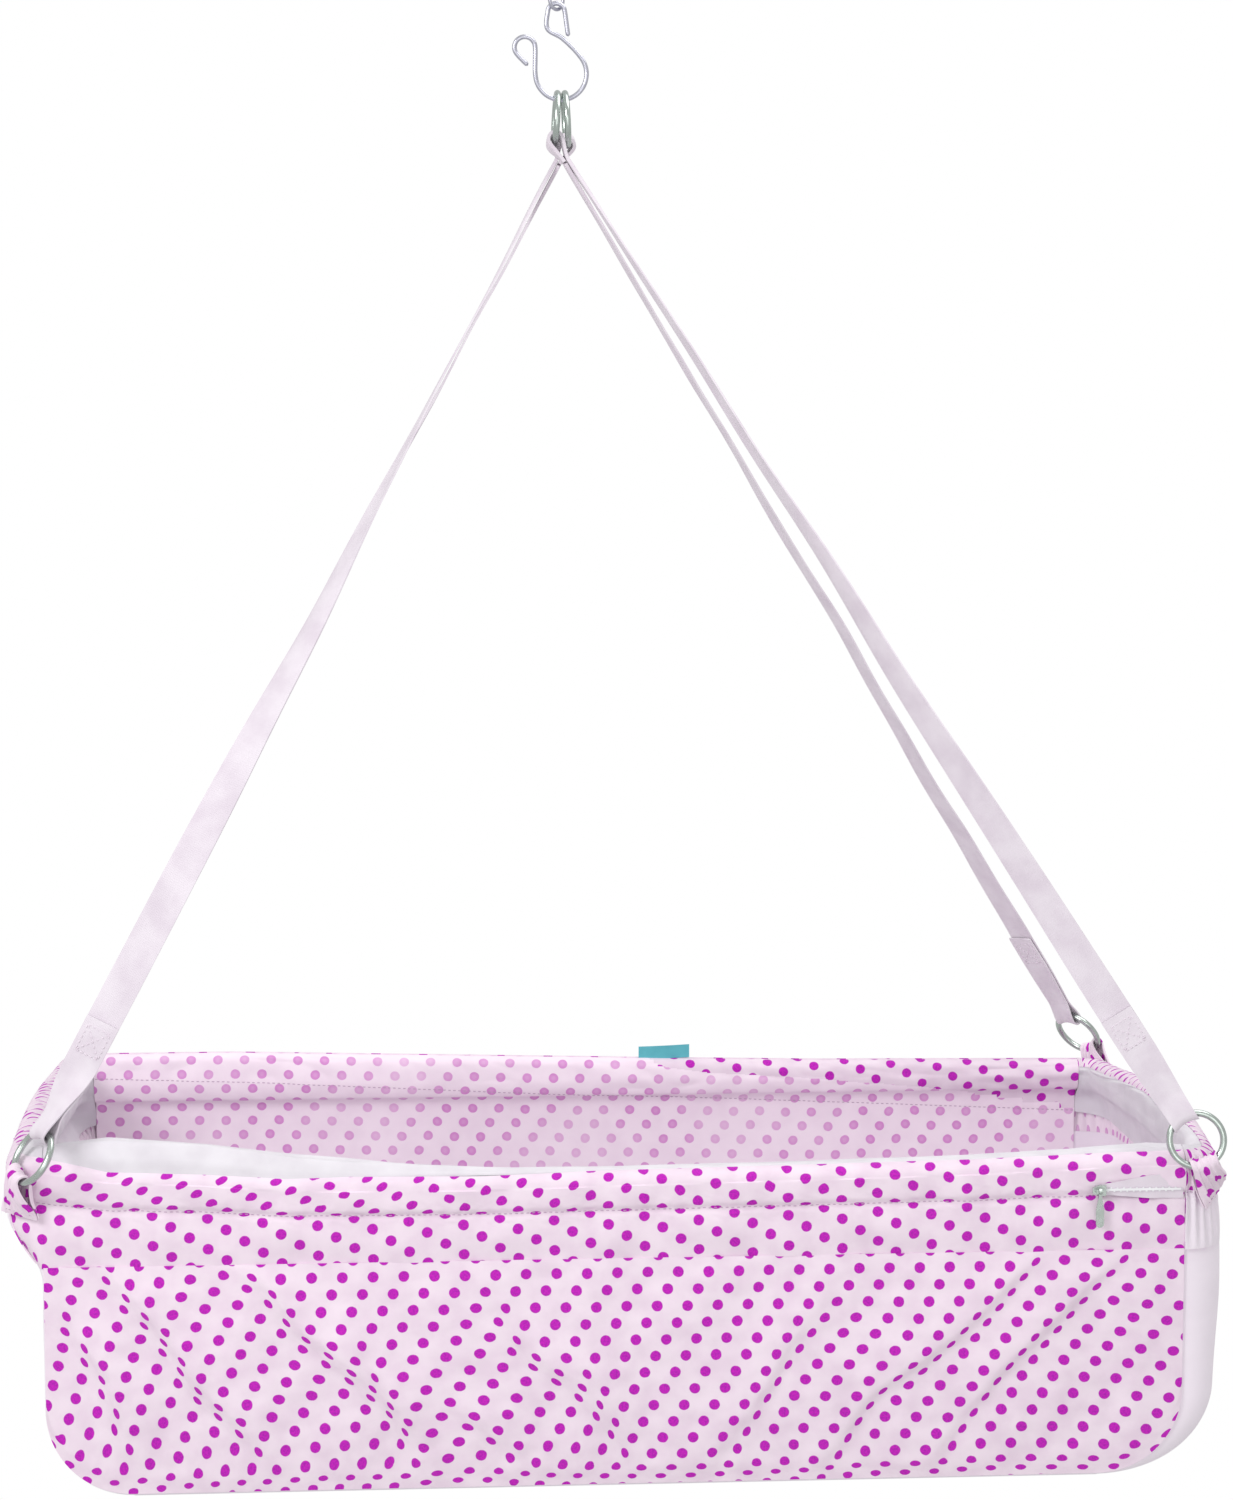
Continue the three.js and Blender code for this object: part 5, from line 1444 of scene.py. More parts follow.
@dataclass(frozen=True)
class Straps:
    """Centre lines and sections of the webbing, from the rings' places.

    A folded eye lies over an apex ring. Each leg leaves it edge on, turns by a growing angle
    about its own line, and turns back on itself through its corner ring.
    """

    finishes: Finishes
    hook_offset: float = 0.0034
    apex_z: float = -0.1085
    corner_z: float = -0.8595
    outset: float = 0.005
    frontage: float = 0.009
    clearance: float = 0.0003
    wrap_gap: float = 0.0008
    eye_length: float = 0.016
    unfold: float = 0.090
    ring_width: float = 0.020
    wrap_length: float = 0.020
    fold_back: float = 0.088
    sharpness: float = 2.0
    twist_end: float = 0.93
    swung: float = 56.0
    columns: int = 13
    box_half: float = 0.0088
    box_from_end: Pair = (0.026, 0.006)
    box_pitch: float = 0.0034
    tab_cloth: float = 0.0016
    tab_skin: float = 0.0013
    tab_print: float = 0.033
    tab_width: float = 0.030
    tab_rim_drop: float = 0.020
    tab_seat_drop: float = 0.024
    tab_slack: float = 0.0012
    tab_pitch: float = 0.0030

    def twist(self, share: Array, corner: Corner) -> Array:
        """Turn of a leg's width at shares of its length.

        It grows with (share / end) ** sharpness. The front left leg swings further round to
        the front by an eased bell over its lower part, and back before its ring.

        Args:
            share: Share of the length from the eye.
            corner: The leg's corner.

        Returns:
            The turn in radians.
        """
        grown = math.radians(corner.leg_turn) * np.clip(share / self.twist_end, 0.0, 1.0) ** self.sharpness
        swung = math.radians(self.swung) if corner.name == "front_left" else 0.0
        return grown + swung * smooth((share - 0.10) / 0.72) ** 1.5 * smooth((0.985 - share) / 0.055)

    def apex_ring(self, side: int) -> tuple[Array, Array]:
        """Centre and down direction of an apex ring, tilted to make room for the eyes."""
        top = RING_WIRE + 2.0 * self.clearance
        bottom = RING_WIRE + 2.0 * STRAP_THICKNESS + self.wrap_gap + 4.0 * self.clearance
        tilt = math.asin((bottom - top) / (4.0 * RING_RADIUS))
        down = np.array([side * math.sin(tilt), 0.0, -math.cos(tilt)])
        return np.array([self.hook_offset + side * (top + bottom) / 4.0, 0.0, self.apex_z]), down

    def corner(self, x_sign: int, y_sign: int) -> Array:
        """Centre of a corner ring; a zero sign gives the middle."""
        x = BASKET_X + x_sign * (SEAM_X + self.outset)
        return np.array([x, y_sign * (FRONT_Y + self.frontage), self.corner_z])

    def wrap_radius(self, width: float, thickness: float) -> float:
        """Middle radius of a strip turned round a ring's wire, bunched to the width given."""
        slope = math.asin(width / 2.0 / RING_RADIUS)
        return (RING_WIRE / 2.0 + self.wrap_gap) / math.cos(slope) + thickness / 2.0

    def eye(self, x_sign: int) -> dict[str, Array]:
        """Frame of a strap's eye.

        Args:
            x_sign: -1 for the left, 1 for the right.

        Returns:
            Its seat on the ring, axis, throat, way in, stacking and the wire's direction.
        """
        folded = STRAP_WIDTH / 2.0
        centre, down = self.apex_ring(-x_sign)
        angle = math.asin((folded / 2.0 + self.clearance) / RING_RADIUS)
        ahead = np.array([0.0, -float(x_sign), 0.0])
        seat = centre + down * RING_RADIUS * math.cos(angle) + ahead * RING_RADIUS * math.sin(angle)
        axis = unit((self.corner(x_sign, 0) - seat) * np.array([1.0, 0.0, 1.0]))
        throat = seat + axis * self.eye_length
        throat[1] = -x_sign * (folded / 2.0 + self.clearance)
        return {
            "seat": seat, "axis": axis, "throat": throat, "inward": unit(centre - seat),
            "stack": np.array([-axis[2], 0.0, axis[0]]) * x_sign,
            "wire": ahead * math.cos(angle) - down * math.sin(angle),
        }

    def leg(self, corner: Corner) -> Leg:
        """Frame of a leg, from its eye's throat to its ring."""
        eye = self.eye(corner.x_sign)
        layer = STRAP_THICKNESS + self.clearance / 2.0
        top = eye["throat"] - eye["stack"] * corner.y_sign * layer + eye["axis"] * self.clearance
        ring = self.corner(corner.x_sign, corner.y_sign)
        up = unit(top - ring)
        edge = unit(REARWARD - up * up[1])
        wire = ring + up * RING_RADIUS
        return Leg(ring, wire, up, edge, np.cross(up, edge), float(np.linalg.norm(top - wire)))

    def ring_normal(self, corner: Corner) -> Array:
        """Normal of the corner ring, which lies in the strap's plane there."""
        return self.leg(corner).turned(math.radians(corner.leg_turn))[1]

    def tape(self, name: str, centre: Array, face: Array, thickness: Array, across: Array, slot: str,
             material: Material) -> None:
        """Make a strip whose two faces lie half its thickness either side of its middle grid.

        Args:
            name: The object's name: its node's with an ending.
            centre: Middle grid, stations by columns.
            face: Unit direction of one face at each point.
            thickness: Thickness at each point.
            across: Place across the strip at each point, in metres of cloth.
            slot: A slot name; not used.
            material: The material.
        """
        face = np.broadcast_to(face, centre.shape)
        outer, inner = centre + face * thickness / 2.0, centre - face * thickness / 2.0
        if float(np.mean(np.sum(normals(centre) * face, axis=-1))) < 0.0:
            outer, inner = inner, outer
        run = lengths(centre, 0).mean(axis=1)[:, None]
        uv = np.stack(np.broadcast_arrays(across[..., 0], run), axis=-1)
        made = MeshMaker.layers(name, outer, inner, uv, [material])
        MeshMaker.settle(made, "cradle", slot, name.rsplit("_", 1)[0])

    def build_eye(self, side: str, x_sign: int) -> None:
        """Make one folded eye: two layers that turn round the apex ring's wire.

        Args:
            side: The strap's side.
            x_sign: -1 for the left, 1 for the right.
        """
        eye = self.eye(x_sign)
        folded, thick = STRAP_WIDTH / 2.0, 2.0 * STRAP_THICKNESS
        wrap = self.wrap_radius(folded, thick) + self.clearance
        out = lerp((thick + self.clearance) / 2.0, wrap, smooth(np.linspace(0.0, 1.0, 14)))
        strip = Strip.loop(self.eye_length, wrap, out, 24)
        share = np.clip(strip.reach / self.eye_length, 0.0, 1.0)
        across = (folded * (np.linspace(0.0, 1.0, self.columns) - 0.5))[None, :, None]
        bow = sagitta(RING_RADIUS, np.abs(across)) * (1.0 - smooth(share))
        centre = eye["seat"] + eye["axis"] * strip.reach + eye["stack"] * strip.out + eye["inward"] * bow
        centre[..., 1] = lerp(eye["seat"][1], eye["throat"][1], share)[..., 0]
        level = np.array([0.0, np.sign(eye["wire"][1]), 0.0])
        centre = centre + unit(lerp(eye["wire"], level, smooth(share))) * across
        face = eye["stack"] * np.cos(strip.turn) - eye["axis"] * np.sin(strip.turn)
        thickness = thick * (1.0 - 0.22 * (np.abs(across) / (folded / 2.0)) ** 4)
        name = f"strap_eye_{side}_webbing"
        self.tape(name, centre, face, thickness, across, "webbing", self.finishes.webbing)

    def build_leg(self, corner: Corner, seed: int) -> None:
        """Make one leg, its fold-back and its box stitch.

        The leg opens from its folded width below the eye and bunches at its ring. A slow sway
        and curl, ripples along it, lie on its free length.

        Args:
            corner: The leg's corner.
            seed: Seed of its sway and curl.
        """
        leg = self.leg(corner)
        wrap = self.wrap_radius(self.ring_width, STRAP_THICKNESS)
        layer = STRAP_THICKNESS / 2.0 + self.clearance
        bend = 1.6 * self.wrap_length
        down = np.linspace(leg.length, bend, 220)
        near = np.linspace(bend, 0.0, 26)[1:]
        turn = np.linspace(0.0, HALF_TURN, 26)[1:-1]
        tail = np.append(near[::-1], bend)
        back = np.linspace(bend, self.fold_back, 34)[1:]
        widened = lerp(layer, wrap, smooth(1.0 - near / self.wrap_length))
        fan = 0.0006 * smooth((back - self.fold_back * 0.55) / (self.fold_back * 0.45))
        tail_out = -np.append(widened[::-1], layer) - layer
        strip = Strip.of(
            [down, near, -wrap * np.sin(turn), tail, back],
            [np.zeros(len(down)), widened - layer, wrap * np.cos(turn) - layer, tail_out, -2.0 * layer - fan],
            len(down) + len(near), turn,
        )
        from_top = leg.length - strip.reach
        width, normal = leg.turned(self.twist(from_top / leg.length, corner))
        opened = smooth(from_top / self.unfold)
        bunch = smooth(1.0 - strip.reach / (3.0 * self.wrap_length))
        spread = lerp(lerp(STRAP_WIDTH / 2.0, STRAP_WIDTH, opened), self.ring_width, bunch)
        place = np.linspace(-0.5, 0.5, self.columns)[None, :, None]
        across = spread * place
        bow = -sagitta(RING_RADIUS, np.abs(across)) * bunch
        sway = 0.0011 * ripple(from_top, place * 0.02, 0.16, seed)
        curl = 0.0016 * (4.0 * place**2 - 0.5) * ripple(from_top, 0.0, 0.22, seed + 3)
        loose = arch((strip.reach - self.fold_back) / (leg.length - self.fold_back), 0.5)
        centre = leg.wire + leg.up * (strip.reach + bow) + width * across
        centre = centre + normal * (strip.out + (sway + curl) * loose)
        face = normal * np.cos(strip.turn) - leg.up * np.sin(strip.turn)
        selvedge = 1.0 - 0.25 * np.clip((np.abs(place) - 0.40) / 0.10, 0.0, 1.0) ** 2
        thickness = lerp(2.0 * STRAP_THICKNESS, STRAP_THICKNESS, opened) * selvedge
        name, cloth = f"strap_{corner.name}_webbing", self.finishes.webbing
        self.tape(name, centre, face, thickness, STRAP_WIDTH * place, "webbing", cloth)
        self.box_stitch(corner, leg)

    def box_stitch(self, corner: Corner, leg: Leg) -> None:
        """Sew a box with a cross in it through both layers, near the end of the fold-back.

        Args:
            corner: The leg's corner.
            leg: Its frame.
        """
        half, skin = self.box_half, STRAP_THICKNESS / 2.0
        low, high = (self.fold_back - inset for inset in self.box_from_end)
        box = np.array([[-half, low], [half, low], [half, high], [-half, high]])
        lines = ((0, 1), (1, 2), (2, 3), (3, 0), (0, 2), (3, 1))
        rows = [along_line(np.linspace(box[start], box[end], 12), self.box_pitch) for start, end in lines]
        spots, ways = (np.concatenate(part) for part in zip(*rows))
        width, normal = leg.turned(self.twist(1.0 - spots[:, 1:] / leg.length, corner))
        seam = leg.wire + leg.up * spots[:, 1:] + width * spots[:, :1]
        direction = width * ways[:, :1] + leg.up * ways[:, 1:]
        behind = 2.0 * (skin + self.clearance) + skin + 0.0003
        for side, out, offset in (("front", normal, skin), ("back", -normal, behind)):
            MeshMaker.stitches(
                f"strap_{corner.name}_stitches_{side}", seam + out * (offset + 0.0001), direction, out,
                self.finishes.thread, "webbing", radius=0.00042,
            )

    def build_tab(self, corner: Corner, seed: int) -> None:
        """Make one corner tab: a loop of cloth from the band through the ring and back.

        It widens from the ring to the band and is puckered lengthwise by sines across it.

        Args:
            corner: The tab's corner.
            seed: Phase of its puckers.
        """
        leg, angle = self.leg(corner), math.radians(corner.tab_turn)
        wrap = self.wrap_radius(self.ring_width, self.tab_cloth)
        layer = self.tab_cloth / 2.0 + self.clearance
        outward = np.array([corner.x_sign * math.cos(angle), corner.y_sign * math.sin(angle), 0.0])
        seat_z = self.corner_z - self.tab_rim_drop - self.tab_seat_drop
        corner_at = np.array([BASKET_X + corner.x_sign * SEAM_X, corner.y_sign * CORNER_Y, seat_z])
        seat = corner_at + outward * (CORNER_RADIUS + 2.0 * layer + self.tab_slack)
        ring_normal = self.ring_normal(corner)
        towards = seat - leg.ring
        radial = unit(towards - ring_normal * float(towards @ ring_normal))
        wire = leg.ring + radial * RING_RADIUS
        ring_width = np.cross(ring_normal, radial)
        level = np.cross(UP, outward)
        level = level if float(level @ ring_width) > 0.0 else -level
        down, length = unit(seat - wire), float(np.linalg.norm(seat - wire))
        strip = Strip.loop(length, wrap, lerp(wrap, layer, smooth(np.linspace(1.4, 0.0, 26))), 22)
        share = np.clip(strip.reach / length, 0.0, 1.0)
        blended = lerp(ring_width, level, smooth(share))
        width = unit(blended - down * np.sum(blended * down, axis=-1, keepdims=True))
        normal = np.cross(width, down)
        place = np.linspace(-0.5, 0.5, 41)[None, :, None]
        across = lerp(self.ring_width, self.tab_width, smooth(share)) * place
        bunched = np.minimum(np.abs(across), self.ring_width / 2.0)
        curve = sagitta(RING_RADIUS, bunched) * (1.0 - smooth(share * 1.6))
        wave = place * FULL_TURN
        pleat = 0.0011 * np.sin(wave * 5.0 + seed) + 0.0006 * np.sin(wave * 9.0 + 2 * seed)
        opened = arch(share * 0.9 + 0.08)
        puff = 0.0030 * opened * (1.0 - (2.0 * place) ** 4)
        puff = puff + np.maximum(pleat, -0.0004) * (0.35 + 0.65 * opened)
        centre = wire + down * strip.reach - radial * curve + normal * strip.out + width * across
        face = np.broadcast_to(normal * np.cos(strip.turn) - down * np.sin(strip.turn), centre.shape)
        name, cloth = f"corner_tab_{corner.name}_cloth", self.finishes.panel
        centre = centre + face * np.maximum(puff, 0.0)
        self.tape(name, centre, face, np.array(self.tab_skin), self.tab_print * place, "dotted_cloth", cloth)
        line = wire + down * (length - 0.004) + normal[0] * (layer + self.tab_cloth / 2.0 + 0.0006)
        places, directions = along_line((line + width[0] * across[0])[4:-4], self.tab_pitch)
        name, out = f"corner_tab_{corner.name}_stitches", np.broadcast_to(normal[0], places.shape)
        MeshMaker.stitches(name, places, directions, out, self.finishes.mauve_thread, "dotted_cloth")

    def build(self) -> None:
        """Make the eyes, legs and tabs."""
        for side, x_sign in ENDS:
            self.build_eye(side, x_sign)
        for number, corner in enumerate(CORNERS):
            self.build_leg(corner, 101 + 7 * number)
            self.build_tab(corner, 3 + number)


@dataclass(frozen=True)
class HangingMetal:
    """The link, the S-hook and the six rings, as smooth wires."""

    straps: Straps
    finishes: Finishes
    link_wire: float = 0.0028
    window: Pair = (0.012, 0.025)
    link_turn: float = 45.0
    hook_wire: float = 0.0036
    hook_height: float = 0.0756
    hook_end: float = 0.0020
    eye_radius: float = 0.0065
    seat: float = 0.0014
    tip_length: float = 0.018
    tip_spread: float = 0.0025
    bowl_radius: float = 0.0195
    bowl_offset: float = 0.0034
    curl_radius: float = 0.0079
    bowl_start: float = 22.5
    curl_end: float = 225.0
    neck: Knots = ((-0.01, 0.27), (0.38, 0.42), (0.8, 0.66))

    @staticmethod
    def arc(x: float, z: float, radius: float, start: float, end: float, steps: int) -> Array:
        """Points of an arc in the upright plane, angles in degrees."""
        angles = np.radians(np.linspace(start, end, steps + 1))
        return np.stack([x + radius * np.cos(angles), angles * 0.0, z + radius * np.sin(angles)], axis=-1)

    def build_link(self) -> None:
        """Make the long link: two half circles and two straights, turned in plan."""
        width, height = self.window
        half, straight = (width + self.link_wire) / 2.0, (height - width) / 2.0
        top = self.arc(0.0, straight, half, 0.0, 180.0, 36)
        bottom = self.arc(0.0, -straight, half, 180.0, 360.0, 36)
        left, right = (np.linspace(a[-1], b[0], 12)[1:-1] for a, b in ((top, bottom), (bottom, top)))
        path = np.concatenate([top, left, bottom, right])
        turn = math.radians(self.link_turn)
        along = np.array([math.cos(turn), math.sin(turn), 0.0])
        path = path[:, :1] * along + (path[:, 2:] - height / 2.0) * UP
        normal = np.array([-math.sin(turn), math.cos(turn), 0.0])
        made = MeshMaker.bar("hanger_link_wire", path, self.link_wire / 2.0, normal, self.finishes.steel, 24)
        MeshMaker.settle(made, "hanger", "steel", "hanger_link")

    def build_hook(self) -> None:
        """Make the S-hook: tip, eye, neck, bowl, leg and curl, with rounded ends.

        Near its ends the wire's radius falls as a quarter circle.
        """
        bend_z = -self.window[1] - self.link_wire / 2.0
        eye_z = bend_z + (self.link_wire + self.hook_wire) / 2.0 + self.seat - self.eye_radius
        bowl_z = eye_z + self.eye_radius - (self.hook_height - self.hook_wire) + self.bowl_radius
        leg_x = self.bowl_offset - self.bowl_radius
        neck_right = self.bowl_offset + self.bowl_radius * math.cos(math.radians(self.bowl_start))
        tip_x = self.eye_radius + self.tip_spread
        tip = [[tip_x, 0.0, -self.tip_length], [(tip_x + self.eye_radius) / 2.0, 0.0, -self.tip_length / 2.0]]
        neck = [
            [lerp(-self.eye_radius, neck_right, across), 0.0, lerp(eye_z, bowl_z, down)]
            for across, down in self.neck
        ]
        leg_to = bowl_z + self.bowl_radius
        curl = self.arc(leg_x - self.curl_radius, leg_to, self.curl_radius, 0.0, self.curl_end, 9)
        path = spline(np.concatenate([
            np.array(tip) + [0.0, 0.0, eye_z],
            self.arc(0.0, eye_z, self.eye_radius, 0.0, 180.0, 6),
            neck,
            self.arc(self.bowl_offset, bowl_z, self.bowl_radius, self.bowl_start, -180.0, 9),
            [[leg_x, 0.0, bowl_z + self.bowl_radius / 2.0]],
            curl,
            curl[-1:] + np.array([[self.curl_radius, 0.0, -self.curl_radius]]),
        ]), 14)
        run = lengths(path[:, None, :], 0)[:, 0]
        from_end = np.clip(np.minimum(run, run[-1] - run) / self.hook_end, 0.0, 1.0)
        radius = self.hook_wire / 2.0 * np.sqrt(np.clip(1.0 - (1.0 - from_end) ** 2, 0.02, 1.0))
        made = MeshMaker.bar("s_hook_wire", path, radius, REARWARD, self.finishes.steel, 28, False)
        MeshMaker.settle(made, "hook", "steel", "s_hook")

    def build_ring(self, node: str, body: str, centre: Array, normal: Array, up: Array) -> None:
        """Make one ring.

        Args:
            node: The CAD node it stands for.
            body: The body it rides on.
            centre: Its centre.
            normal: Normal of its plane.
            up: A direction across the normal, at which its wire starts.
        """
        side = unit(np.cross(normal, up))
        angles = np.linspace(0.0, FULL_TURN, 96, endpoint=False)[:, None]
        path = centre + RING_RADIUS * (unit(up) * np.cos(angles) + side * np.sin(angles))
        made = MeshMaker.bar(f"{node}_wire", path, RING_WIRE / 2.0, unit(normal), self.finishes.nickel, 28)
        MeshMaker.settle(made, body, "ring_metal", node)

    def build(self) -> None:
        """Make every metal wire."""
        self.build_link()
        self.build_hook()
        for side, sign in ENDS:
            centre, down = self.straps.apex_ring(sign)
            self.build_ring(f"apex_ring_{side}", "cradle", centre, np.cross(down, REARWARD), -down)
        for corner in CORNERS:
            leg, normal = self.straps.leg(corner), self.straps.ring_normal(corner)
            self.build_ring(f"corner_ring_{corner.name}", f"{corner.name}_ring", leg.ring, normal, leg.up)


@dataclass(frozen=True)
class Mattress:
    """A thin padded mattress with a crowned top and a corded seam."""

    finishes: Finishes
    half: Pair = (0.380, 0.172)
    radius: float = 0.045
    bottom: float = -1.1113
    thickness: float = 0.026
    crown: float = 0.009
    edge: float = 0.010
    drawn: float = 0.006
    cord_radius: float = 0.0014
    stations: int = 300

    def outline(self) -> Array:
        """Rounded rectangle whose sides are drawn in by a parabola that is zero at the corners."""
        length, width = self.half
        a, b = length - self.radius, width - self.radius
        arc = self.radius * math.pi / 2.0
        marks = np.cumsum([0.0, *[2.0 * b, arc, 2.0 * a, arc] * 2])
        run = np.linspace(0.0, marks[-1], self.stations, endpoint=False)
        angle = np.interp(run, marks, np.array([0, 0, 1, 1, 2, 2, 3, 3, 4]) * math.pi / 2.0)
        middle = [np.interp(run, marks, [a, a, a, -a, -a, -a, -a, a, a])]
        middle += [np.interp(run, marks, [-b, b, b, b, b, -b, -b, -b, -b])]
        outward = np.stack([np.cos(angle), np.sin(angle)], axis=-1)
        points = np.stack(middle, axis=-1) + outward * self.radius
        straight = np.abs(outward) > 0.99
        parabola = 1.0 - (points / np.array(self.half)) ** 2
        draw = self.drawn * (parabola[:, 1] * straight[:, 0] + parabola[:, 0] * straight[:, 1])
        return points - outward * draw[:, None]

    def profile(self) -> tuple[Array, Array]:
        """Inset and height of the pad's section, from under its middle over to its top.

        The side bulges as a half sine between two seams, and the top rises by the sine of
        the share of the way in.
        """
        side = self.thickness - self.crown
        under, beside = np.array([0.4, 0.12, 0.02]), np.linspace(0.04, 1.0, 14)
        over = np.linspace(0.03, 0.97, 34)
        inset = np.concatenate([
            self.half[1] * under, self.edge * (1.0 - np.sin(math.pi * beside)) ** 2,
            lerp(self.edge, self.half[1], over),
        ])
        top = side + self.crown * np.sin(math.pi / 2.0 * over) ** 0.8
        return inset[:, None], np.concatenate([[0.0005, 0.0002, 0.0], side * beside, top])[:, None]

    def build(self) -> None:
        """Make the pad, with small dimples on its top, and its cord."""
        outline = self.outline()
        inset, height = self.profile()
        side = self.thickness - self.crown
        x, y = (outline[None, :, k] * (1.0 - inset / self.half[k]) for k in (0, 1))
        dimple = 0.0010 * ripple(x, y, 0.09, 83) + 0.0004 * ripple(x, y, 0.03, 85)
        z = self.bottom + np.maximum(height + dimple * smooth((height - side * 0.9) / 0.004), 0.0)
        poles = [[BASKET_X, 0.0, self.bottom + 0.0006], [BASKET_X, 0.0, self.bottom + self.thickness]]
        points = np.concatenate([np.stack([x + BASKET_X, y, z], axis=-1).reshape(-1, 3), poles])
        uv = np.concatenate([np.stack([x, y + height], axis=-1).reshape(-1, 2), np.zeros((2, 2))])
        faces = MeshMaker.tube(*x.shape, True)
        made = MeshMaker.write("mattress_pad", points, faces, uv, [self.finishes.white])
        MeshMaker.settle(made, "mattress", "white_lining", "mattress")
        cord = outline * (1.0 - self.edge * 0.35 / self.half[1]) + [BASKET_X, 0.0]
        cord = np.column_stack([cord, np.full(self.stations, self.bottom + side + 0.0012)])
        piping = MeshMaker.bar("mattress_piping", cord, self.cord_radius, UP, self.finishes.plain, 10)
        MeshMaker.settle(piping, "mattress", "white_lining")


@dataclass(frozen=True)
class SmallParts:
    """The casing zip's tape and the bare label, on their solids' boxes."""

    finishes: Finishes
    tape_start: float = 0.002
    tape_wave: float = 0.0004
    wave_length: float = 0.021
    label_arch: float = 0.0010
    label_lift: float = 0.0062
    label_slope: float = 0.0016

    def build_tape(self) -> None:
        """Make the tape: a wedge that widens to the right, with softly waved edges."""
        low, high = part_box("zip_tape")
        along, across = np.linspace(0.0, 1.0, 70)[None, :], np.linspace(1.0, -1.0, 16)[:, None]
        x = lerp(low.x + self.tape_start, high.x, along) * np.ones((16, 1))
        half = (high.z - low.z) / 2.0 * lerp(0.55, 1.0, smooth(along * 1.4))
        z = (low.z + high.z) / 2.0 + half * across + 0.0045 * smooth(along) * (0.5 + 0.5 * across)
        y = low.y + 0.0002 - self.tape_wave * across**2 * np.sin(x * FULL_TURN / self.wave_length)
        flat = (high.z - low.z, high.x - low.x - self.tape_start)
        self.sheet("zip_tape", (x, y, z), 0.0007, self.finishes.tape, "zip_plastic", flat, "zip_tape")

    def build_label(self) -> None:
        """Make the bare woven label: a low arch over its box, sewn along its ends."""
        low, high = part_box("label_tab")
        share = np.linspace(0.0, 1.0, 40)[None, :] * np.ones((12, 1))
        z = np.linspace(high.z, low.z, 12)[:, None] + self.label_slope * (share - 0.5) + self.label_lift
        y = low.y - 0.0006 - self.label_arch * np.sin(math.pi * share)
        flat = (high.z - low.z, high.x - low.x)
        grid = (lerp(low.x, high.x, share), y, z)
        self.sheet("label", grid, 0.0008, self.finishes.teal, "teal_cloth", flat, "label_tab")

    @staticmethod
    def sheet(name: str, grid: tuple[Array, Array, Array], thickness: float, material: Material, slot: str,
              flat: Pair, node: str) -> None:
        """Make a small sheet from its three coordinates, whose cloth lies along x and z."""
        points, uv = np.stack(grid, axis=-1), np.stack(grid[::2], axis=-1)
        MeshMaker.cloth(f"{name}_cloth", points, thickness, uv, [material], slot, flat, node)

    def build(self) -> None:
        """Make the tape and the label."""
        self.build_tape()
        self.build_label()


@dataclass(frozen=True)
class Lamp:
    """A soft square light: its place, size, power and the point that it faces."""

    name: str
    place: Rgb
    size: float
    power: float
    target: Rgb

    def build(self) -> None:
        """Add the light, turned by the yaw and pitch of its way to the target."""
        data = bpy.data.lights.new(self.name, "AREA")
        data.size, data.energy = self.size, self.power
        made = bpy.data.objects.new(self.name, data)
        made.location = self.place
        way = np.array(self.target) - np.array(self.place)
        yaw, pitch = math.atan2(way[1], way[0]), math.atan2(-way[2], math.hypot(way[0], way[1]))
        made.rotation_euler = (math.pi / 2.0 - pitch, 0.0, yaw - math.pi / 2.0)
        bpy.context.scene.collection.objects.link(made)


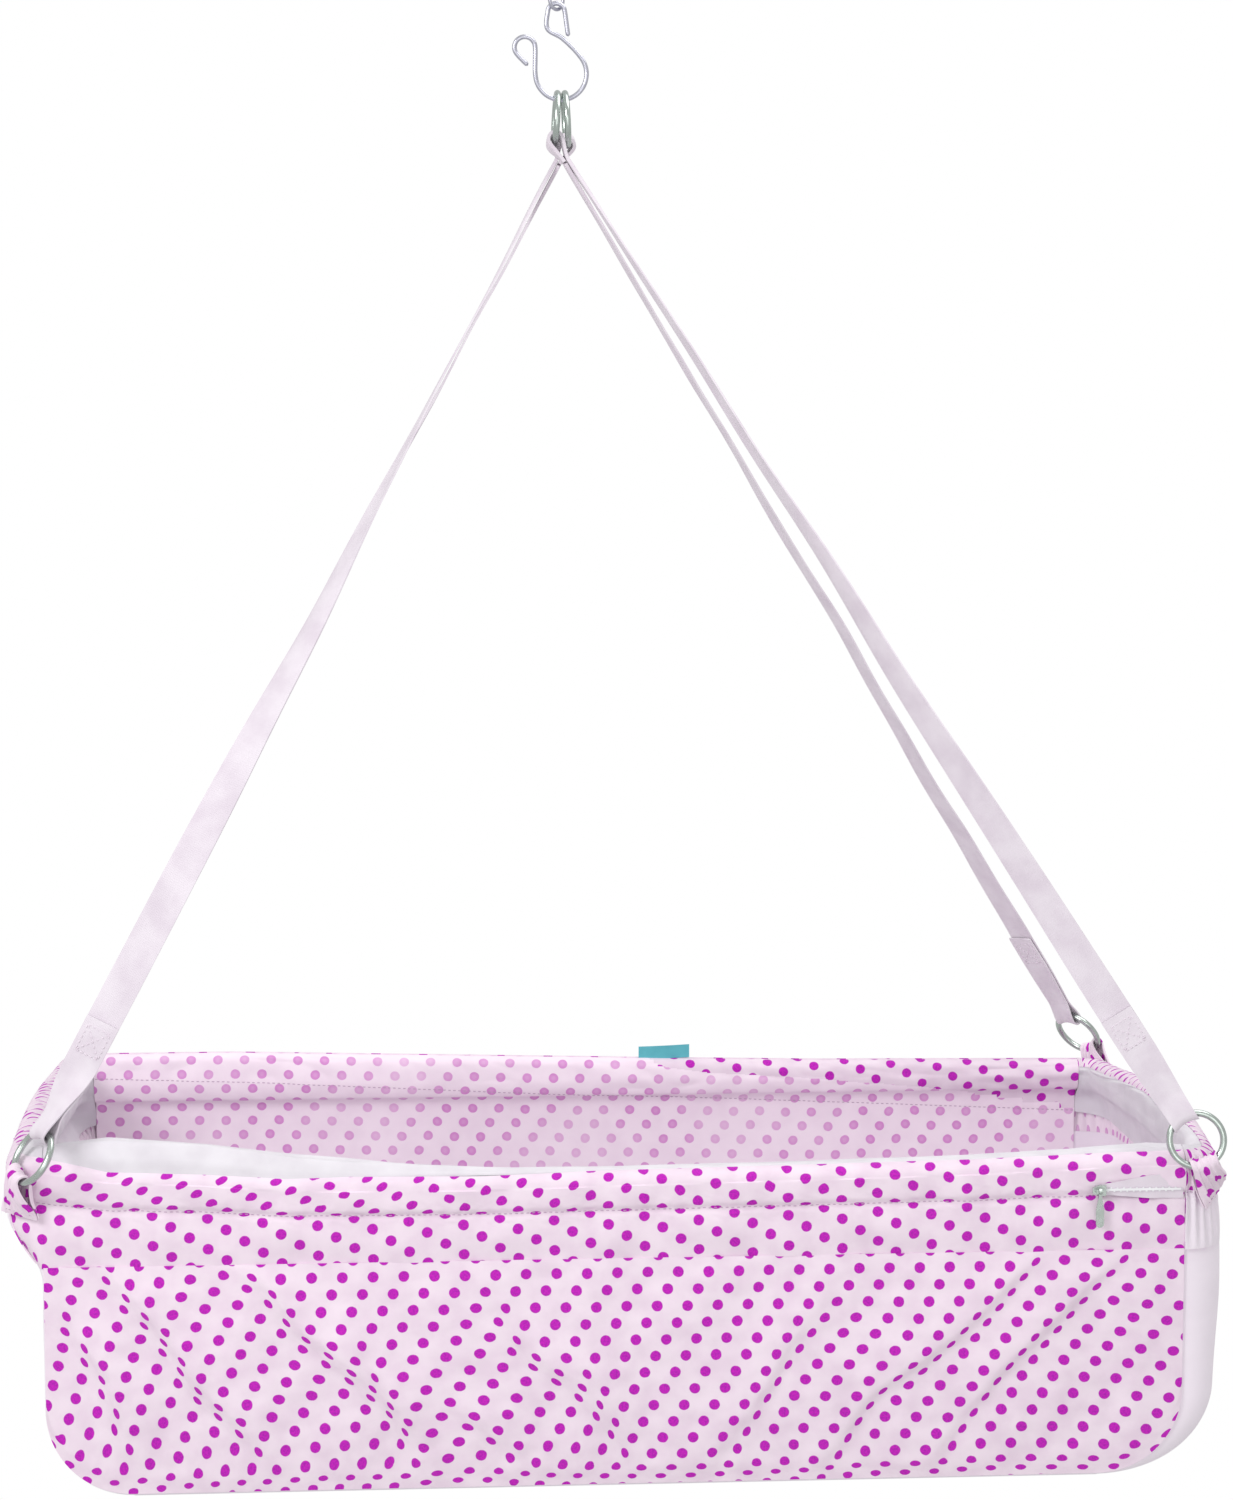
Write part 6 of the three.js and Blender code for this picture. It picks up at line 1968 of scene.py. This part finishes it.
@dataclass(frozen=True)
class Studio:
    """Camera, lights and backdrop like the photograph's."""

    lens: float = 74.92
    place: Rgb = (-0.1127, -2.4109, -0.3430)
    tilt: float = 84.13
    pan: float = -3.76
    light: float = 0.64
    lamps: tuple[Lamp, ...] = (
        Lamp("key", (-1.9, -2.0, 0.7), 1.0, 36.0, (0.1, 0.0, -0.95)),
        Lamp("fill", (0.1, -2.8, -0.6), 1.8, 12.5, (0.1, 0.0, -0.95)),
        Lamp("top", (0.8, -0.1, 1.2), 1.4, 18.0, (0.0, 0.0, -0.9)),
    )

    def camera(self) -> None:
        """Set the camera solved from the photograph."""
        data = bpy.data.cameras.new("camera")
        data.sensor_fit = "VERTICAL"
        data.sensor_height = 36.0
        data.lens = self.lens
        data.clip_end = 50.0
        made = bpy.data.objects.new("camera", data)
        made.location = self.place
        made.rotation_euler = (math.radians(self.tilt), 0.0, math.radians(self.pan))
        bpy.context.scene.collection.objects.link(made)
        bpy.context.scene.camera = made

    def world(self) -> None:
        """Light the scene evenly, with white behind the object for the camera."""
        world = bpy.data.worlds.new("studio")
        bpy.context.scene.world = world
        world.use_nodes = True
        tree = world.node_tree
        background = tree.nodes["Background"]
        background.inputs["Color"].default_value = (1.0, 1.0, 1.0, 1.0)
        path = tree.nodes.new("ShaderNodeLightPath")
        lift = tree.nodes.new("ShaderNodeMapRange")
        lift.inputs["To Min"].default_value = self.light
        lift.inputs["To Max"].default_value = 1.0
        tree.links.new(path.outputs["Is Camera Ray"], lift.inputs["Value"])
        tree.links.new(lift.outputs["Result"], background.inputs["Strength"])

    def build(self) -> None:
        """Set the camera, the world and the lights."""
        self.camera()
        self.world()
        for lamp in self.lamps:
            lamp.build()
        bpy.context.scene.view_settings.view_transform = "Standard"


def finish_cad(frame: dict[str, object], finishes: Finishes) -> None:
    """Give the CAD nodes that stay shown their materials.

    Args:
        finishes: The materials.
    """
    groups = (
        (finishes.tube, ("front_rail", "rear_rail", "left_bow", "right_bow")),
        (finishes.elbow, tuple(f"rail_elbow_{corner.name}" for corner in CORNERS)),
        (finishes.board, ("base_board",)),
        (finishes.teeth, ("zip_teeth",)),
        (finishes.nickel, ("zip_slider", "zip_pull")),
    )
    for material, names in groups:
        for name in names:
            mesh = frame["nodes"][name].data
            for slot in range(len(mesh.materials)):
                mesh.materials[slot] = material


def main() -> None:
    """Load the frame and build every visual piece."""
    logging.basicConfig(level=logging.INFO, format="%(name)s: %(message)s")
    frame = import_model()
    Studio().build()
    finishes, rim = Finishes(), Rim()
    finish_cad(frame, finishes)
    straps = Straps(finishes)
    HangingMetal(straps, finishes).build()
    straps.build()
    RimCasing(rim, finishes).build()
    BasketWalls(rim, finishes).build()
    Mattress(finishes).build()
    SmallParts(finishes).build()


if __name__ == "__main__":
    main()
